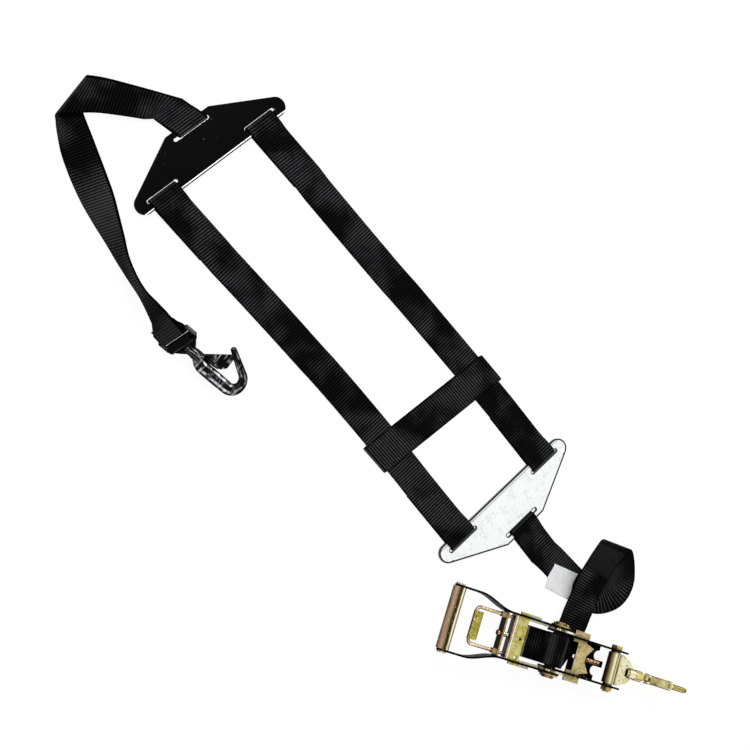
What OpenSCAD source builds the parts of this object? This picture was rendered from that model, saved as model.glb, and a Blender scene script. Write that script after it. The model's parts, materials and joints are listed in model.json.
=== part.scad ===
// Ratchet wheel strap with two spreader plates, two snap hooks and a wide-handle ratchet.
// Millimetres. +Z is up and the set lies flat on z = 0, with the long straps along +X.

/* [Webbing] */
// Width of the webbing
webbing_w = 50; // [40:1:50]
// Thickness of one layer of webbing
webbing_t = 2.5; // [2:0.1:2.8]
// Gap between stacked layers and around bars
skin = 0.4; // [0.4:0.05:0.6]
// Length of the sewn-back tail at a plate
tail_l = 95; // [60:5:130]
// Sideways bow of the long straps
strap_bow = 3.5; // [0:0.5:6]
// Heading of the long straps where they leave the head plate
head_heading = 1; // [-2:0.5:2]
// Heading of the long straps where they reach the foot plate
foot_heading = -1.8; // [-3:0.2:1]

/* [Spreader plates] */
// Distance between the centres of the two round ends
plate_span = 248; // [240:1:270]
// Radius of the round ends
plate_end_r = 15; // [13:0.5:18]
// Height of the flat apex above the base line
plate_apex_h = 58; // [54:1:70]
// Width of the flat apex
plate_apex_w = 86; // [76:1:100]
// Thickness of the plates
plate_t = 5; // [4:0.5:6]
// Width of the strap slots
slot_w = 5; // [4.5:0.5:8]
// Clearance of a slot at each edge of the webbing
slot_side = 3.5; // [2.5:0.5:5]
// Distance of the outer slots from the round ends' centres
slot_inset = 4; // [3:0.5:7]
// Extra length of the apex slot, where a strap may leave at a slant
apex_slot_more = 9; // [8:0.5:14]
// Metal left between the apex slot and the apex edge
apex_bar = 9; // [8:0.5:14]
// Distance between the two plates' base lines
plate_gap = 688; // [640:1:740]

/* [Cross strap] */
// Place of the cross strap along the long straps
cross_x = 106; // [60:1:130]
// Slant of the cross strap
cross_slant = 6.5; // [0:0.5:8]
// Clearance inside the cross strap beyond the long straps
cross_side = 1; // [1:0.5:8]

/* [Ratchet frame] */
// Turn of the ratchet's long axis from the long straps
ratchet_turn = 28.6; // [20:0.2:34]
// Height of the drum axis
drum_z = 30; // [29.5:0.5:34]
// Clearance between the side plates and each edge of the webbing
frame_side = 2; // [1.5:0.25:4]
// Thickness of the side plates and the web
frame_t = 3; // [2.5:0.25:3.5]
// Radius of the side plates round the drum
frame_drum_r = 19; // [17:0.5:20]
// Radius of the side plates round the anchor bolt
frame_bolt_r = 12; // [11:0.5:14]
// Distance from the drum axis to the anchor bolt
bolt_reach = 107; // [104:1:115]
// Start of the bottom web
web_from = 43; // [40:1:46]
// End of the bottom web's lobes
web_to = 93; // [88:1:94]

/* [Drum] */
// Radius of the split spindle
spindle_r = 9; // [8:0.5:10]
// Width of the strap slot through the spindle
spindle_slot = 3.4; // [3.2:0.1:4]
// Outer radius of the ratchet wheels
wheel_r = 25; // [24:0.5:26]
// Depth of the teeth
tooth_h = 4; // [3:0.5:5]
// Number of teeth
teeth = 12; // [10:1:14]
// Thickness of a ratchet wheel
wheel_t = 3; // [2.5:0.25:3.5]
// Turns of webbing on the drum
winding_turns = 3; // [2:0.5:3]
// Running clearance of turning parts on their pins
running = 0.08; // [0.05:0.01:0.1]
// Side clearance between parts that turn past each other
side_gap = 0.4; // [0.3:0.05:0.6]

/* [Handle] */
// Distance from the drum axis to the grip
grip_reach = 184; // [176:1:200]
// Radius of the grip tube
grip_r = 10.3; // [9:0.1:12]
// Length of the grip tube
grip_l = 96; // [92:1:104]
// Thickness of the handle arms
arm_t = 3; // [2.5:0.25:3.5]
// Radius of the arms round the drum
arm_eye_r = 17; // [15:0.5:18]
// Height of the arms at the grip
arm_h = 17; // [14:0.5:20]
// Wall of the grip tube
grip_wall = 1.6; // [1.2:0.1:2.5]
// Radius of the grip's rod
grip_rod_r = 4; // [3:0.5:5]

/* [Pawls] */
// Travel of the drive pawl
drive_travel = 5; // [4:0.5:5.5]
// Travel of the locking pawl
lock_travel = 5; // [4:0.5:6]
// Clearance of a pawl to the wheels when held open
pawl_clear = 0.5; // [0.4:0.1:1]
// Thickness of the pawl plates
pawl_t = 3; // [2.5:0.25:3.5]
// Radius of the release pull's wire
pull_r = 2.6; // [2:0.1:3]
// Clearance of the release pull inside the handle arms
pull_side = 2.8; // [2.5:0.1:4]
// Distance from the drum axis to the release pull's bow
pull_reach = 147; // [142:1:156]

/* [Hooks] */
// Half width of the hook's flat spine
spine_half = 10.2; // [8:0.1:11]
// Half width of the hook's bowl
bowl_half = 8; // [6.5:0.1:8.5]
// Half width of the nose at its tip
tip_half = 4.6; // [4:0.1:5.5]
// Half thickness of the hook
hook_thin = 4.5; // [4:0.1:5.2]
// Radius of the hook's bowl, to the middle of the bar
bowl_r = 16; // [15:0.5:18]
// Distance from the swivel eye to the bowl's centre
hook_l = 63; // [60:1:72]
// Length of the hook's straight nose
nose_l = 38; // [35:1:40]
// Slope of the nose
nose_flare = 30; // [27:1:32]
// Distance from the bracket's barrel to the swivel eye at the ratchet
eye_reach = 49; // [48:1:54]
// The same distance at the lead strap
lead_reach = 31; // [31:1:54]
// Radius of the swivel pin
swivel_r = 4; // [3.5:0.25:4.5]
// Length of the bracket's barrel
barrel_l = 49; // [46:0.5:50]
// Radius of the anchor bolt
bolt_r = 5; // [4:0.25:5.5]
// Radius of the strap link's wire
link_r = 3.2; // [2.8:0.1:3.6]
// Length of the strap link
link_l = 15.5; // [15.5:0.5:18]
// Thickness of the gates' sheet
gate_t = 1.2; // [1:0.1:1.6]

/* [Hidden] */
$fn = 48;
bite = 1;            // how far a cutter runs past the metal that it cuts
tiny = 0.01;

// Middle of the whole set, so that the model is centred on the origin
middle = [59.1, -25.9, 0];
// Where the head plate's base line crosses the set's middle line, and the turns of both plates
head_base = [-404.1, 27.1];
head_turn = -3.9;
foot_turn = -2.8;
foot_base = [head_base[0] + plate_gap, head_base[1] - 2.2];
// Place of the drum axis
drum_at = [504, -79];

black = [0.09, 0.09, 0.1];
gloss = [0.16, 0.16, 0.17];
steel = [0.74, 0.75, 0.77];
zinc = [0.72, 0.66, 0.3];
brown = [0.55, 0.42, 0.34];
smoke = [0.24, 0.24, 0.26];

// ---------- vector helpers ----------
function unit(v) = v / norm(v);
function lerp(a, b, t) = a + (b - a) * t;
function polar(r, a) = [r * cos(a), r * sin(a)];
function last(v) = v[len(v) - 1];
function flip(v) = [for (i = [len(v) - 1:-1:0]) v[i]];
function xyz(p, z) = [p[0], p[1], z];
// A smooth curve through the points p with n steps between neighbours
function curve_at(p, i, t) =
  let (a = p[max(i - 1, 0)], b = p[i], c = p[i + 1], d = p[min(i + 2, len(p) - 1)])
  0.5 * (2 * b + (c - a) * t + (2 * a - 5 * b + 4 * c - d) * t * t + (3 * b - a - 3 * c + d) * t * t * t);
function curve(p, n) =
  concat([for (i = [0:len(p) - 2], k = [0:n - 1]) curve_at(p, i, k / n)], [last(p)]);

// Bands round circles c = [[x, y, r], ...], listed anticlockwise. band_turn is the direction in
// which the straight stretch after circle i leaves it
function centre(e) = [e[0], e[1]];
function band_turn(c, i) =
  let (a = c[i], b = c[(i + 1) % len(c)], d = centre(b) - centre(a))
  atan2(d[1], d[0]) - acos((a[2] - b[2]) / norm(d));
// A plate's edge with true arcs
module rim(c) {
  polygon([for (i = [0:len(c) - 1])
    let (n = band_turn(c, i))
    each [centre(c[i]) + polar(c[i][2], n), centre(c[(i + 1) % len(c)]) + polar(c[(i + 1) % len(c)][2], n)]]);
  for (e = c) translate(centre(e)) circle(r = e[2]);
}
// The same edge in short straight steps. A circle may be passed twice, once on each side
module banded(c) {
  polygon([for (i = [0:len(c) - 1])
    let (
      from = band_turn(c, (i + len(c) - 1) % len(c)),
      turn = (band_turn(c, i) - from + 720) % 360,
      steps = turn > 300 ? 0 : ceil(turn / 12))
    for (k = [0:steps])
      centre(c[i]) + polar(c[i][2], steps == 0 ? band_turn(c, i) : from + turn * k / steps)]);
}

// ---------- webbing ----------
// A strap is a list of stations [left edge, right edge]. Its face at a station is square
// to the edge-to-edge line and to the run of its middle line.
function mid(s) = (s[0] + s[1]) / 2;
function run_of(s, i, ring) =
  let (n = len(s))
  ring ? mid(s[(i + 1) % n]) - mid(s[(i + n - 1) % n]) : mid(s[min(i + 1, n - 1)]) - mid(s[max(i - 1, 0)]);
function face_of(s, i, ring) = unit(cross(s[i][1] - s[i][0], run_of(s, i, ring)));
function shifted(s, d, ring = false) =
  [for (i = [0:len(s) - 1]) [for (e = s[i]) e + face_of(s, i, ring) * d]];
function part_of(s, a, b) = [for (i = [a:b]) s[i]];
function smooth(s, n) =
  let (l = curve([for (e = s) e[0]], n), r = curve([for (e = s) e[1]], n))
  [for (i = [0:len(l) - 1]) [l[i], r[i]]];
// A ring of webbing joins its last station to its first
module webbing(s, t, ring = false) {
  n = len(s);
  top = shifted(s, t / 2, ring);
  low = shifted(s, -t / 2, ring);
  points = [for (i = [0:n - 1]) each [top[i][0], top[i][1], low[i][1], low[i][0]]];
  sides = [for (i = [0:ring ? n - 1 : n - 2], k = [0:3])
    let (a = 4 * i + k, b = 4 * i + (k + 1) % 4, c = 4 * ((i + 1) % n) + k, d = 4 * ((i + 1) % n) + (k + 1) % 4)
    each [[a, b, d], [a, d, c]]];
  ends = [[0, 3, 2], [0, 2, 1], [4 * n - 4, 4 * n - 3, 4 * n - 2], [4 * n - 4, 4 * n - 2, 4 * n - 1]];
  polyhedron(points, ring ? sides : concat(sides, ends));
}

// Heights of the middle of the first and second layer of webbing on the floor
layer_1 = webbing_t / 2;
layer_2 = layer_1 + webbing_t + skin;
// Plates and the ratchet frame stand on one layer
deck_z = webbing_t + skin;
over_z = deck_z + plate_t + skin + webbing_t / 2;
turn_r = webbing_t / 2 + skin;
// The loop through a slot and over a bar, as [distance outwards from the bar's free edge, height],
// from the end of the sewn tail to the top of the stack beyond the bar
function bar_loop(bar, tail) = concat(
  [[tail, layer_1], [16, layer_1], [0, layer_1], [-bar, layer_1]],
  [for (a = [-67.5:22.5:0]) [-bar - turn_r * cos(a), deck_z + turn_r * sin(a)]],
  [[-bar - turn_r, deck_z + plate_t / 2]],
  [for (a = [0:22.5:90]) [-bar - turn_r * cos(a), deck_z + plate_t + turn_r * sin(a)]],
  [[-bar / 2, over_z], [-1, over_z], [6, over_z - 0.8], [16, layer_2 + 1.2], [26, layer_2],
    [tail, layer_2]]);
// The loop set down in plan: at is the middle of the bar's free edge, dir the way out square to
// the bar, and slant the turn of the webbing from that
function laid(loop, at, dir, slant = 0) =
  let (along = polar(1, dir), side = polar(1, dir + 90), half = webbing_w / 2 / cos(slant))
  [for (p = loop) let (c = at + along * p[0] + side * p[0] * tan(slant))
    [xyz(c + side * half, p[1]), xyz(c - side * half, p[1])]];

// ---------- spreader plates ----------
slot_l = webbing_w + 2 * slot_side;
slot_mid = plate_span / 2 - slot_inset - slot_l / 2;
base_bar = plate_end_r - slot_w / 2;
module plate_outline() {
  rim([[0, -plate_span / 2, plate_end_r], [plate_apex_h - 4, 4 - plate_apex_w / 2, 4],
    [plate_apex_h - 4, plate_apex_w / 2 - 4, 4], [0, plate_span / 2, plate_end_r]]);
}
// A slot with round ends along the plate's length
module slot(width) {
  square([slot_w, width - slot_w], center = true);
  for (s = [-1, 1]) translate([0, s * (width - slot_w) / 2]) circle(d = slot_w);
}
// The plate with its base line along Y and its apex towards +X
module spreader_plate() {
  translate([0, 0, deck_z]) linear_extrude(plate_t) difference() {
    plate_outline();
    for (s = [-1, 1]) translate([0, s * slot_mid]) slot(slot_l);
    translate([plate_apex_h - apex_bar - slot_w / 2, 0]) slot(slot_l + apex_slot_more);
  }
}
module head_plate() {
  color(gloss) translate(xyz(head_base, 0)) rotate(180 + head_turn) spreader_plate();
}
module foot_plate() {
  color(steel) translate(xyz(foot_base, 0)) rotate(foot_turn) spreader_plate();
}
// A point of a plate: out towards its apex, along its base
function on_head(out, along) = head_base - polar(out, head_turn) + polar(along, head_turn + 90);
function on_foot(out, along) = foot_base + polar(out, foot_turn) + polar(along, foot_turn + 90);

// ---------- long straps ----------
// The raised stretch, where the cross strap runs beneath
raise_from = cross_x - 190;
// The middle line of a long strap between its tails: the corners of a smooth curve
function lane_corners(side) =
  let (
    a = on_head(-plate_end_r, side * slot_mid),
    b = on_foot(-plate_end_r, side * slot_mid),
    bow = [0, -side * strap_bow],
    out_a = a + [1, tan(head_heading)] * tail_l,
    out_b = b - [1, tan(foot_heading)] * tail_l,
    reach = (out_b[0] - out_a[0]) / 3)
  [out_a, out_a + [1, tan(head_heading)] * reach + bow, out_b - [1, tan(foot_heading)] * reach + bow,
    out_b];
function lane(side, t) =
  let (p = lane_corners(side), u = 1 - t)
  p[0] * u * u * u + p[1] * 3 * u * u * t + p[2] * 3 * u * t * t + p[3] * t * t * t;
function lane_y(side, x) =
  let (p = lane_corners(side))
  lane(side, (x - p[0][0]) / (p[3][0] - p[0][0]))[1];
function long_strap(side) =
  let (
    a = on_head(-plate_end_r, side * slot_mid),
    b = on_foot(-plate_end_r, side * slot_mid),
    plan = [for (t = [0.08:0.07:0.93]) lane(side, t)],
    middle_run = [for (i = [0:len(plan) - 1])
      let (
        along = (plan[min(i + 1, len(plan) - 1)] - plan[max(i - 1, 0)]),
        out = polar(webbing_w / 2, atan2(along[1], along[0]) + 90),
        z = plan[i][0] < raise_from ? layer_1 : layer_2)
      [xyz(plan[i] + out, z), xyz(plan[i] - out, z)]],
    head_end = laid(bar_loop(base_bar, tail_l), a, head_turn, head_heading - head_turn),
    foot_loop = laid(bar_loop(base_bar, tail_l), b, foot_turn + 180, foot_heading - foot_turn),
    foot_end = [for (e = flip(foot_loop)) [e[1], e[0]]])
  concat(head_end, middle_run, foot_end);
module left_long_strap() { color(black) webbing(long_strap(-1), webbing_t); }
module right_long_strap() { color(black) webbing(long_strap(1), webbing_t); }

// ---------- cross strap ----------
// A flat loop whose ends follow the outer edges of the long straps
cross_in_r = webbing_t / 2 + skin;
cross_r = cross_in_r + webbing_t / 2;
cross_mid = (lane_y(1, cross_x) + lane_y(-1, cross_x)) / 2;
cross_half = slot_mid + webbing_w / 2 + cross_side - 0.5;
cross_ring = concat(
  [for (a = [-90:22.5:90]) [cross_half + cross_r * cos(a), cross_r * sin(a)]],
  [for (a = [90:22.5:270]) [-cross_half + cross_r * cos(a), cross_r * sin(a)]]);
cross_stations = [for (p = cross_ring)
  let (x = cross_x + p[0] * tan(cross_slant), y = cross_mid + p[0], z = webbing_t + cross_in_r + p[1])
  [[x - webbing_w / 2, y, z], [x + webbing_w / 2, y, z]]];
module cross_strap() { color(black) webbing(cross_stations, webbing_t, true); }

// ---------- hooks: places ----------
// The lead hook: swivel eye, heading in plan, slope down to the floor, and roll of its bracket
lead_eye = [-205.2, -188.2, 20.3];
lead_heading = 10;
lead_slope = 9.4;
lead_roll = 55;
module at_lead(roll) {
  translate(lead_eye) rotate([0, lead_slope, lead_heading]) rotate([roll, 0, 0]) children();
}
// A point of the lead bracket's own frame, whose x runs from the barrel to the eye
function lead_point(x, y, z) =
  let (
    y1 = y * cos(lead_roll) - z * sin(lead_roll),
    z1 = y * sin(lead_roll) + z * cos(lead_roll),
    x2 = x * cos(lead_slope) + z1 * sin(lead_slope),
    z2 = -x * sin(lead_slope) + z1 * cos(lead_slope),
    c = cos(lead_heading),
    s = sin(lead_heading))
  lead_eye + [x2 * c - y1 * s, x2 * s + y1 * c, z2];

// ---------- lead strap ----------
// Stations chosen by hand: out from the head plate, folded over, then rising onto one edge
lead_run = [
  [[-503, -16, 8], [-525, 23, 9]],
  [[-526, -38, 10], [-549, 4, 12]],
  [[-553, -66, 12], [-578, -19, 14]],
  [[-576, -98, 12], [-595, -34, 12]],
  [[-584, -108, 7], [-598, -38, 7.5]],
  [[-578, -113, 2.5], [-590, -50, 3]],
  [[-567, -121, 1.5], [-570, -71, 2]],
  [[-543, -136, 1.5], [-529, -88, 3]],
  [[-521, -146, 1.5], [-503, -99, 6]],
  [[-494, -156, 1.5], [-477, -111, 13]],
  [[-467, -164, 1.5], [-450, -126, 28]],
  [[-438, -170, 1.5], [-424, -143, 41]],
  [[-408, -175, 1.5], [-398, -159, 48]],
  [[-378, -181, 1.5], [-373, -174, 51]],
  [[-348, -186, 1.5], [-345, -184, 51.4]],
  [[-322, -190, 1.5], [-322, -188, 51.5]],
  [[-301, -196, 2.5], [-303, -187, 52]],
  [[-281, -203, 4.5], [-284, -186, 51.5]]
];
// The end that turns round the link's far bar: main layer in, half a turn, and the sewn tail back
link_back = -lead_reach - link_l;
bar_turn_r = link_r + skin + webbing_t / 2;
function across_link(x, z) =
  [lead_point(x, -webbing_w / 2, z), lead_point(x, webbing_w / 2, z)];
lead_end = concat(
  [across_link(link_back - 16, layer_2 / 2 + 0.4), across_link(link_back - 6, bar_turn_r - 0.4)],
  [for (a = [90:-22.5:-90]) across_link(link_back + bar_turn_r * cos(a), bar_turn_r * sin(a))],
  [across_link(link_back - 6, 0.4 - bar_turn_r), across_link(link_back - 14, -1),
    across_link(link_back - 22, -0.6)]);
head_apex = on_head(plate_apex_h, 0);
lead_start = laid(bar_loop(apex_bar, 30), head_apex, head_turn + 180, 18);
lead_stations = concat(lead_start, smooth(lead_run, 3), lead_end);
module lead_strap() { color(black) webbing(lead_stations, webbing_t); }

// ---------- ratchet strap ----------
// Stations chosen by hand: out from the foot plate, round the loop, over the fold and down
strap_run = [
  [[412, 47.5, 1.25], [412, -2.5, 1.25]],
  [[456, 50, 1.25], [458, 0, 1.25]],
  [[474, 51, 1.5], [491, 4, 1.6]],
  [[487, 52, 2], [514, 10, 2.6]],
  [[494, 54, 2.4], [531, 20, 5]],
  [[498, 58, 3], [543, 37, 9]],
  [[499, 63, 4], [548, 55, 14]],
  [[497, 70, 6], [545, 75, 19]],
  [[487, 80, 11], [533, 96, 24]],
  [[466, 92, 20], [512, 114, 28]],
  [[447, 99, 28], [495, 124, 30.5]],
  [[440, 99, 31.5], [488, 123, 33]],
  [[438, 92, 33.5], [486, 112, 34]],
  [[443, 66, 31], [491, 80, 29]],
  [[454, 33, 23], [502, 49, 20]],
  [[466, 12, 16], [514, 29, 13]],
  [[479, -13, 7.5], [526, 7, 6.5]],
  [[491, -33, 1.6], [537, -13, 1.5]],
  [[497, -55, 1.25], [543, -37, 1.25]],
  [[500, -82, 1.6], [546, -62, 1.25]],
  [[502, -104, 7], [548, -84, 1.25]]
];
foot_apex = on_foot(plate_apex_h, 0);
strap_start = laid(bar_loop(apex_bar, 52), foot_apex, foot_turn);
fold_step = 4;
strap_curve = smooth(strap_run, fold_step);
ratchet_stations = concat(strap_start, strap_curve);
module ratchet_strap() { color(black) webbing(ratchet_stations, webbing_t); }

// The smooth patch sewn over the front of the loop, a little narrower than the webbing
patch_t = 1;
patch_seat = 0.2;
patch_inset = 0.05;
module strap_patch() {
  over = shifted(strap_curve, webbing_t / 2 + patch_seat + patch_t / 2);
  bed = part_of(over, 12 * fold_step, 14 * fold_step - 2);
  color(gloss) webbing([for (s = bed) [lerp(s[0], s[1], patch_inset), lerp(s[1], s[0], patch_inset)]],
    patch_t);
}

// The blank folded label, half on the strap
tag_t = 0.8;
tag_seat = 0.3;
module label_tag() {
  color([0.93, 0.93, 0.94]) translate([0, 0, webbing_t + tag_seat]) linear_extrude(tag_t)
    polygon([[419, 21], [460, 39], [478, -1], [434, -17]]);
}

// ---------- ratchet: places ----------
module at_ratchet() {
  translate(xyz(drum_at, 0)) rotate(ratchet_turn) children();
}
// Stands a drawing up, x along the ratchet and y up, and gives it the thickness from y0 to y1
module upright(y0, y1) {
  translate([0, y1, 0]) rotate([90, 0, 0]) linear_extrude(y1 - y0) children();
}
frame_w = webbing_w + 2 * frame_side;        // inner width between the side plates
frame_out = frame_w / 2 + frame_t;
wheel_in = frame_out + side_gap;
arm_in = wheel_in + wheel_t + side_gap;
arm_out = arm_in + arm_t;
pull_half = arm_in - pull_side;

// ---------- ratchet frame ----------
lock_z = drum_z - 9;                       // top of the locking pawl
lock_slot = [30, 62 + lock_travel + 1];    // slot in the side plates, along the ratchet
web_recess = 8;
web_lobe = frame_w / 2 - 15;               // from the middle to a recess of the web
web_in = 0.5;                              // how far the web runs into the side plates
spring_r = 4;
module frame_side_shape() {
  difference() {
    banded([[0, drum_z, frame_drum_r], [web_from - 9, deck_z + 3, 3], [web_to - 6, deck_z + 3, 3],
      [bolt_reach, drum_z, frame_bolt_r],
      [bolt_reach + frame_bolt_r + 4, drum_z + frame_bolt_r - 6, 3],
      [bolt_reach, drum_z, frame_bolt_r]]);
    translate([0, drum_z]) circle(r = spindle_r + running);
    translate([bolt_reach, drum_z]) circle(r = bolt_r);
    translate([lock_slot[0], lock_z - pawl_t - side_gap])
      square([lock_slot[1] - lock_slot[0], pawl_t + 2 * side_gap]);
  }
}
module web_shape() {
  difference() {
    translate([web_from, -frame_w / 2 - web_in]) square([web_to - web_from, frame_w + 2 * web_in]);
    for (s = [-1, 1]) translate([web_to, s * web_lobe]) circle(r = web_recess);
    translate([web_from + 8, 0]) circle(r = 3);
  }
}
module ratchet_frame() {
  color(gloss) at_ratchet() {
    upright(frame_w / 2, frame_out) frame_side_shape();
    upright(-frame_out, -frame_w / 2) frame_side_shape();
    translate([0, 0, deck_z]) linear_extrude(frame_t) web_shape();
    // upright tab of the web that the locking spring stands against
    translate([web_to - frame_t, -5, deck_z]) cube([frame_t, 10, lock_z - deck_z + 3]);
  }
}

// ---------- anchor bolt ----------
head_t = 6;
hex_r = 9.6;
module along_side(from, to, r) {
  translate([0, from, 0]) rotate([-90, 0, 0]) cylinder(r = r, h = to - from);
}
module at_bolt() {
  at_ratchet() translate([bolt_reach, 0, drum_z]) children();
}
module hex_head(from, to) {
  translate([0, from, 0]) rotate([-90, 0, 0]) cylinder(r = hex_r, h = to - from, $fn = 6);
}
module anchor_bolt() {
  color(zinc) at_bolt() {
    along_side(-frame_out - head_t - 2, frame_out + bite, bolt_r);
    hex_head(frame_out, frame_out + head_t);
  }
}
module anchor_nut() {
  color(zinc) at_bolt() difference() {
    hex_head(-frame_out - head_t, -frame_out);
    along_side(-frame_out - head_t - bite, -frame_out + bite, bolt_r);
  }
}
spacer_r = bolt_r + 2.6;
module anchor_spacer() {
  color(steel) at_bolt() difference() {
    along_side(-frame_w / 2, frame_w / 2, spacer_r);
    along_side(-frame_w / 2 - bite, frame_w / 2 + bite, bolt_r);
  }
}

// ---------- locking pawl ----------
module locking_pawl_shape() {
  finger = sqrt(pow(wheel_r + pawl_clear, 2) - pow(drum_z - lock_z, 2));
  m_half = frame_w / 2 - side_gap;
  polygon([[web_from + 1, -m_half], [58, -m_half], [58, -m_half + 2], [73, -19.5], [63, -5],
    [63, 5], [73, 19.5], [58, m_half - 2], [58, m_half], [web_from + 1, m_half]]);
  for (s = [-1, 1]) {
    translate([34, s > 0 ? m_half - 4 : -frame_out - 4]) square([24, frame_out + 4 - m_half + 4]);
    translate([finger, s > 0 ? wheel_in : -wheel_in - wheel_t]) square([34 - finger + 4, wheel_t]);
    translate([34, s > 0 ? wheel_in : -40]) square([27, 40 - wheel_in]);
  }
}
module locking_pawl() {
  color(zinc) at_ratchet() translate([0, 0, lock_z - pawl_t]) linear_extrude(pawl_t)
    locking_pawl_shape();
}

// ---------- springs ----------
// A bar that follows the points p, with half width and half thickness r at point i and n sides
function wire_ring(p, i, r, n) =
  let (
    run = unit(p[min(i + 1, len(p) - 1)] - p[max(i - 1, 0)]),
    ref = abs(run[2]) < 0.9 ? [0, 0, 1] : [1, 0, 0],
    a = unit(cross(ref, run)),
    b = cross(run, a))
  [for (k = [0:n - 1]) p[i] + a * r[0] * cos(360 * k / n) + b * r[1] * sin(360 * k / n)];
// r holds [half width, half thickness] at each point
module bar_along(p, r, n) {
  m = len(p);
  points = [for (i = [0:m - 1]) each wire_ring(p, i, r[i], n)];
  sides = [for (i = [0:m - 2], k = [0:n - 1])
    let (a = n * i + k, b = n * i + (k + 1) % n) each [[a, b + n, b], [a, a + n, b + n]]];
  far = n * (m - 1);
  ends = [for (k = [1:n - 2]) each [[0, k, k + 1], [far, far + k + 1, far + k]]];
  polyhedron(points, concat(sides, ends));
}
module wire(p, r) { bar_along(p, [for (e = p) [r, r]], 6); }
// Points of a coil along X from x0 to x1, with straight ends on its own axis radius
function coil(x0, x1, r, curls) =
  let (n = curls * 8)
  [for (i = [0:n]) [x0 + (x1 - x0) * i / n, r * cos(45 * i), r * sin(45 * i)]];
// The least distance between points of a coil that lie about one curl apart
function coil_gap(p, wire_r) =
  min([for (i = [0:len(p) - 1], k = [5:11]) if (i + k < len(p)) norm(p[i] - p[i + k])]) - 2 * wire_r;

lock_wire_r = 0.7;
lock_spring_x = [63.3, web_to - frame_t - 0.3];
lock_coil = coil(lock_spring_x[0] + lock_wire_r, lock_spring_x[1] - lock_wire_r, spring_r, 9);
echo(locking_spring_gap = coil_gap(lock_coil, lock_wire_r));
module locking_spring() {
  color(brown) at_ratchet() translate([0, 0, lock_z - pawl_t / 2]) wire(lock_coil, lock_wire_r);
}

// ---------- drum ----------
spindle_end = arm_out + side_gap + 2 + 4.5;
module at_drum() {
  at_ratchet() translate([0, 0, drum_z]) children();
}
module drum_half(side) {
  intersection() {
    along_side(-spindle_end, spindle_end, spindle_r);
    translate([side > 0 ? spindle_slot / 2 : -2 * spindle_r, -spindle_end - bite, -2 * spindle_r])
      cube([2 * spindle_r - spindle_slot / 2, 2 * (spindle_end + bite), 4 * spindle_r]);
  }
}
module drum_half_front() { color(brown) at_drum() rotate([0, 25, 0]) drum_half(1); }
module drum_half_rear() { color(brown) at_drum() rotate([0, 25, 0]) drum_half(-1); }
// A ratchet wheel: each tooth has a steep face and a long sloping back
module wheel_shape() {
  step = 360 / teeth;
  difference() {
    polygon([for (i = [0:teeth - 1]) each [
      polar(wheel_r - tooth_h, i * step), polar(wheel_r, i * step + 0.1 * step),
      polar(wheel_r, i * step + 0.34 * step), polar(wheel_r - tooth_h, i * step + 0.85 * step)]]);
    circle(r = spindle_r);
  }
}
module ratchet_wheel_left() {
  color(steel) at_drum() upright(wheel_in, wheel_in + wheel_t) wheel_shape();
}
module ratchet_wheel_right() {
  color(steel) at_drum() upright(-wheel_in - wheel_t, -wheel_in) wheel_shape();
}
washer_t = 2;
washer_r = 15;
module drum_washers() {
  color(zinc) at_drum() for (s = [-1, 1]) {
    from = s > 0 ? arm_out + side_gap : -arm_out - side_gap - washer_t;
    difference() {
      along_side(from, from + washer_t, washer_r);
      along_side(from - bite, from + washer_t + bite, spindle_r);
    }
  }
}
// Split pins through the spindle's ends, outside the washers
clip_r = 1.5;
module drum_clips() {
  color(steel) at_drum() rotate([0, 25, 0]) for (s = [-1, 1])
    translate([0, s * (arm_out + side_gap + washer_t + clip_r + 0.4), -spindle_r - 4]) {
      cylinder(r = clip_r, h = 2 * spindle_r + 8);
      sphere(r = clip_r + 0.3);
    }
}
// The webbing on the drum: one unbroken strip that winds outwards
winding_gap = 0.45;
winding_core = spindle_r + 0.4;
winding_step = webbing_t - 0.1 + winding_gap;
winding_deg = 12;
winding_n = floor(360 * winding_turns / winding_deg);
function winding_r(i) = winding_core + winding_step * i * winding_deg / 360;
winding_side = webbing_t - 0.1;
winding_points = concat(
  [for (i = [0:winding_n]) polar(winding_r(i), 70 - i * winding_deg)],
  [for (i = [winding_n:-1:0]) polar(winding_r(i) + winding_side, 70 - i * winding_deg)]);
echo(winding_gap_to_itself = winding_step * cos(winding_deg / 2) - winding_side);
module drum_winding() {
  color(black) at_drum() upright(-webbing_w / 2, webbing_w / 2) polygon(winding_points);
}

// The strap's free end, which comes off the drum's far side and lies under the handle
end_top = drum_z - winding_r(winding_n) - winding_side - skin - webbing_t / 2;
end_run = [[-11, end_top + 1.7], [-15, end_top + 1.9], [-20, end_top + 1.2], [-27, end_top - 1.6],
  [-34, 4.2], [-41, 1.9], [-48, layer_1]];
module strap_end() {
  half = webbing_w / 2;
  color(black) at_ratchet() webbing([for (p = end_run) [[p[0], half, p[1]], [p[0], -half, p[1]]]], webbing_t);
}

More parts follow.
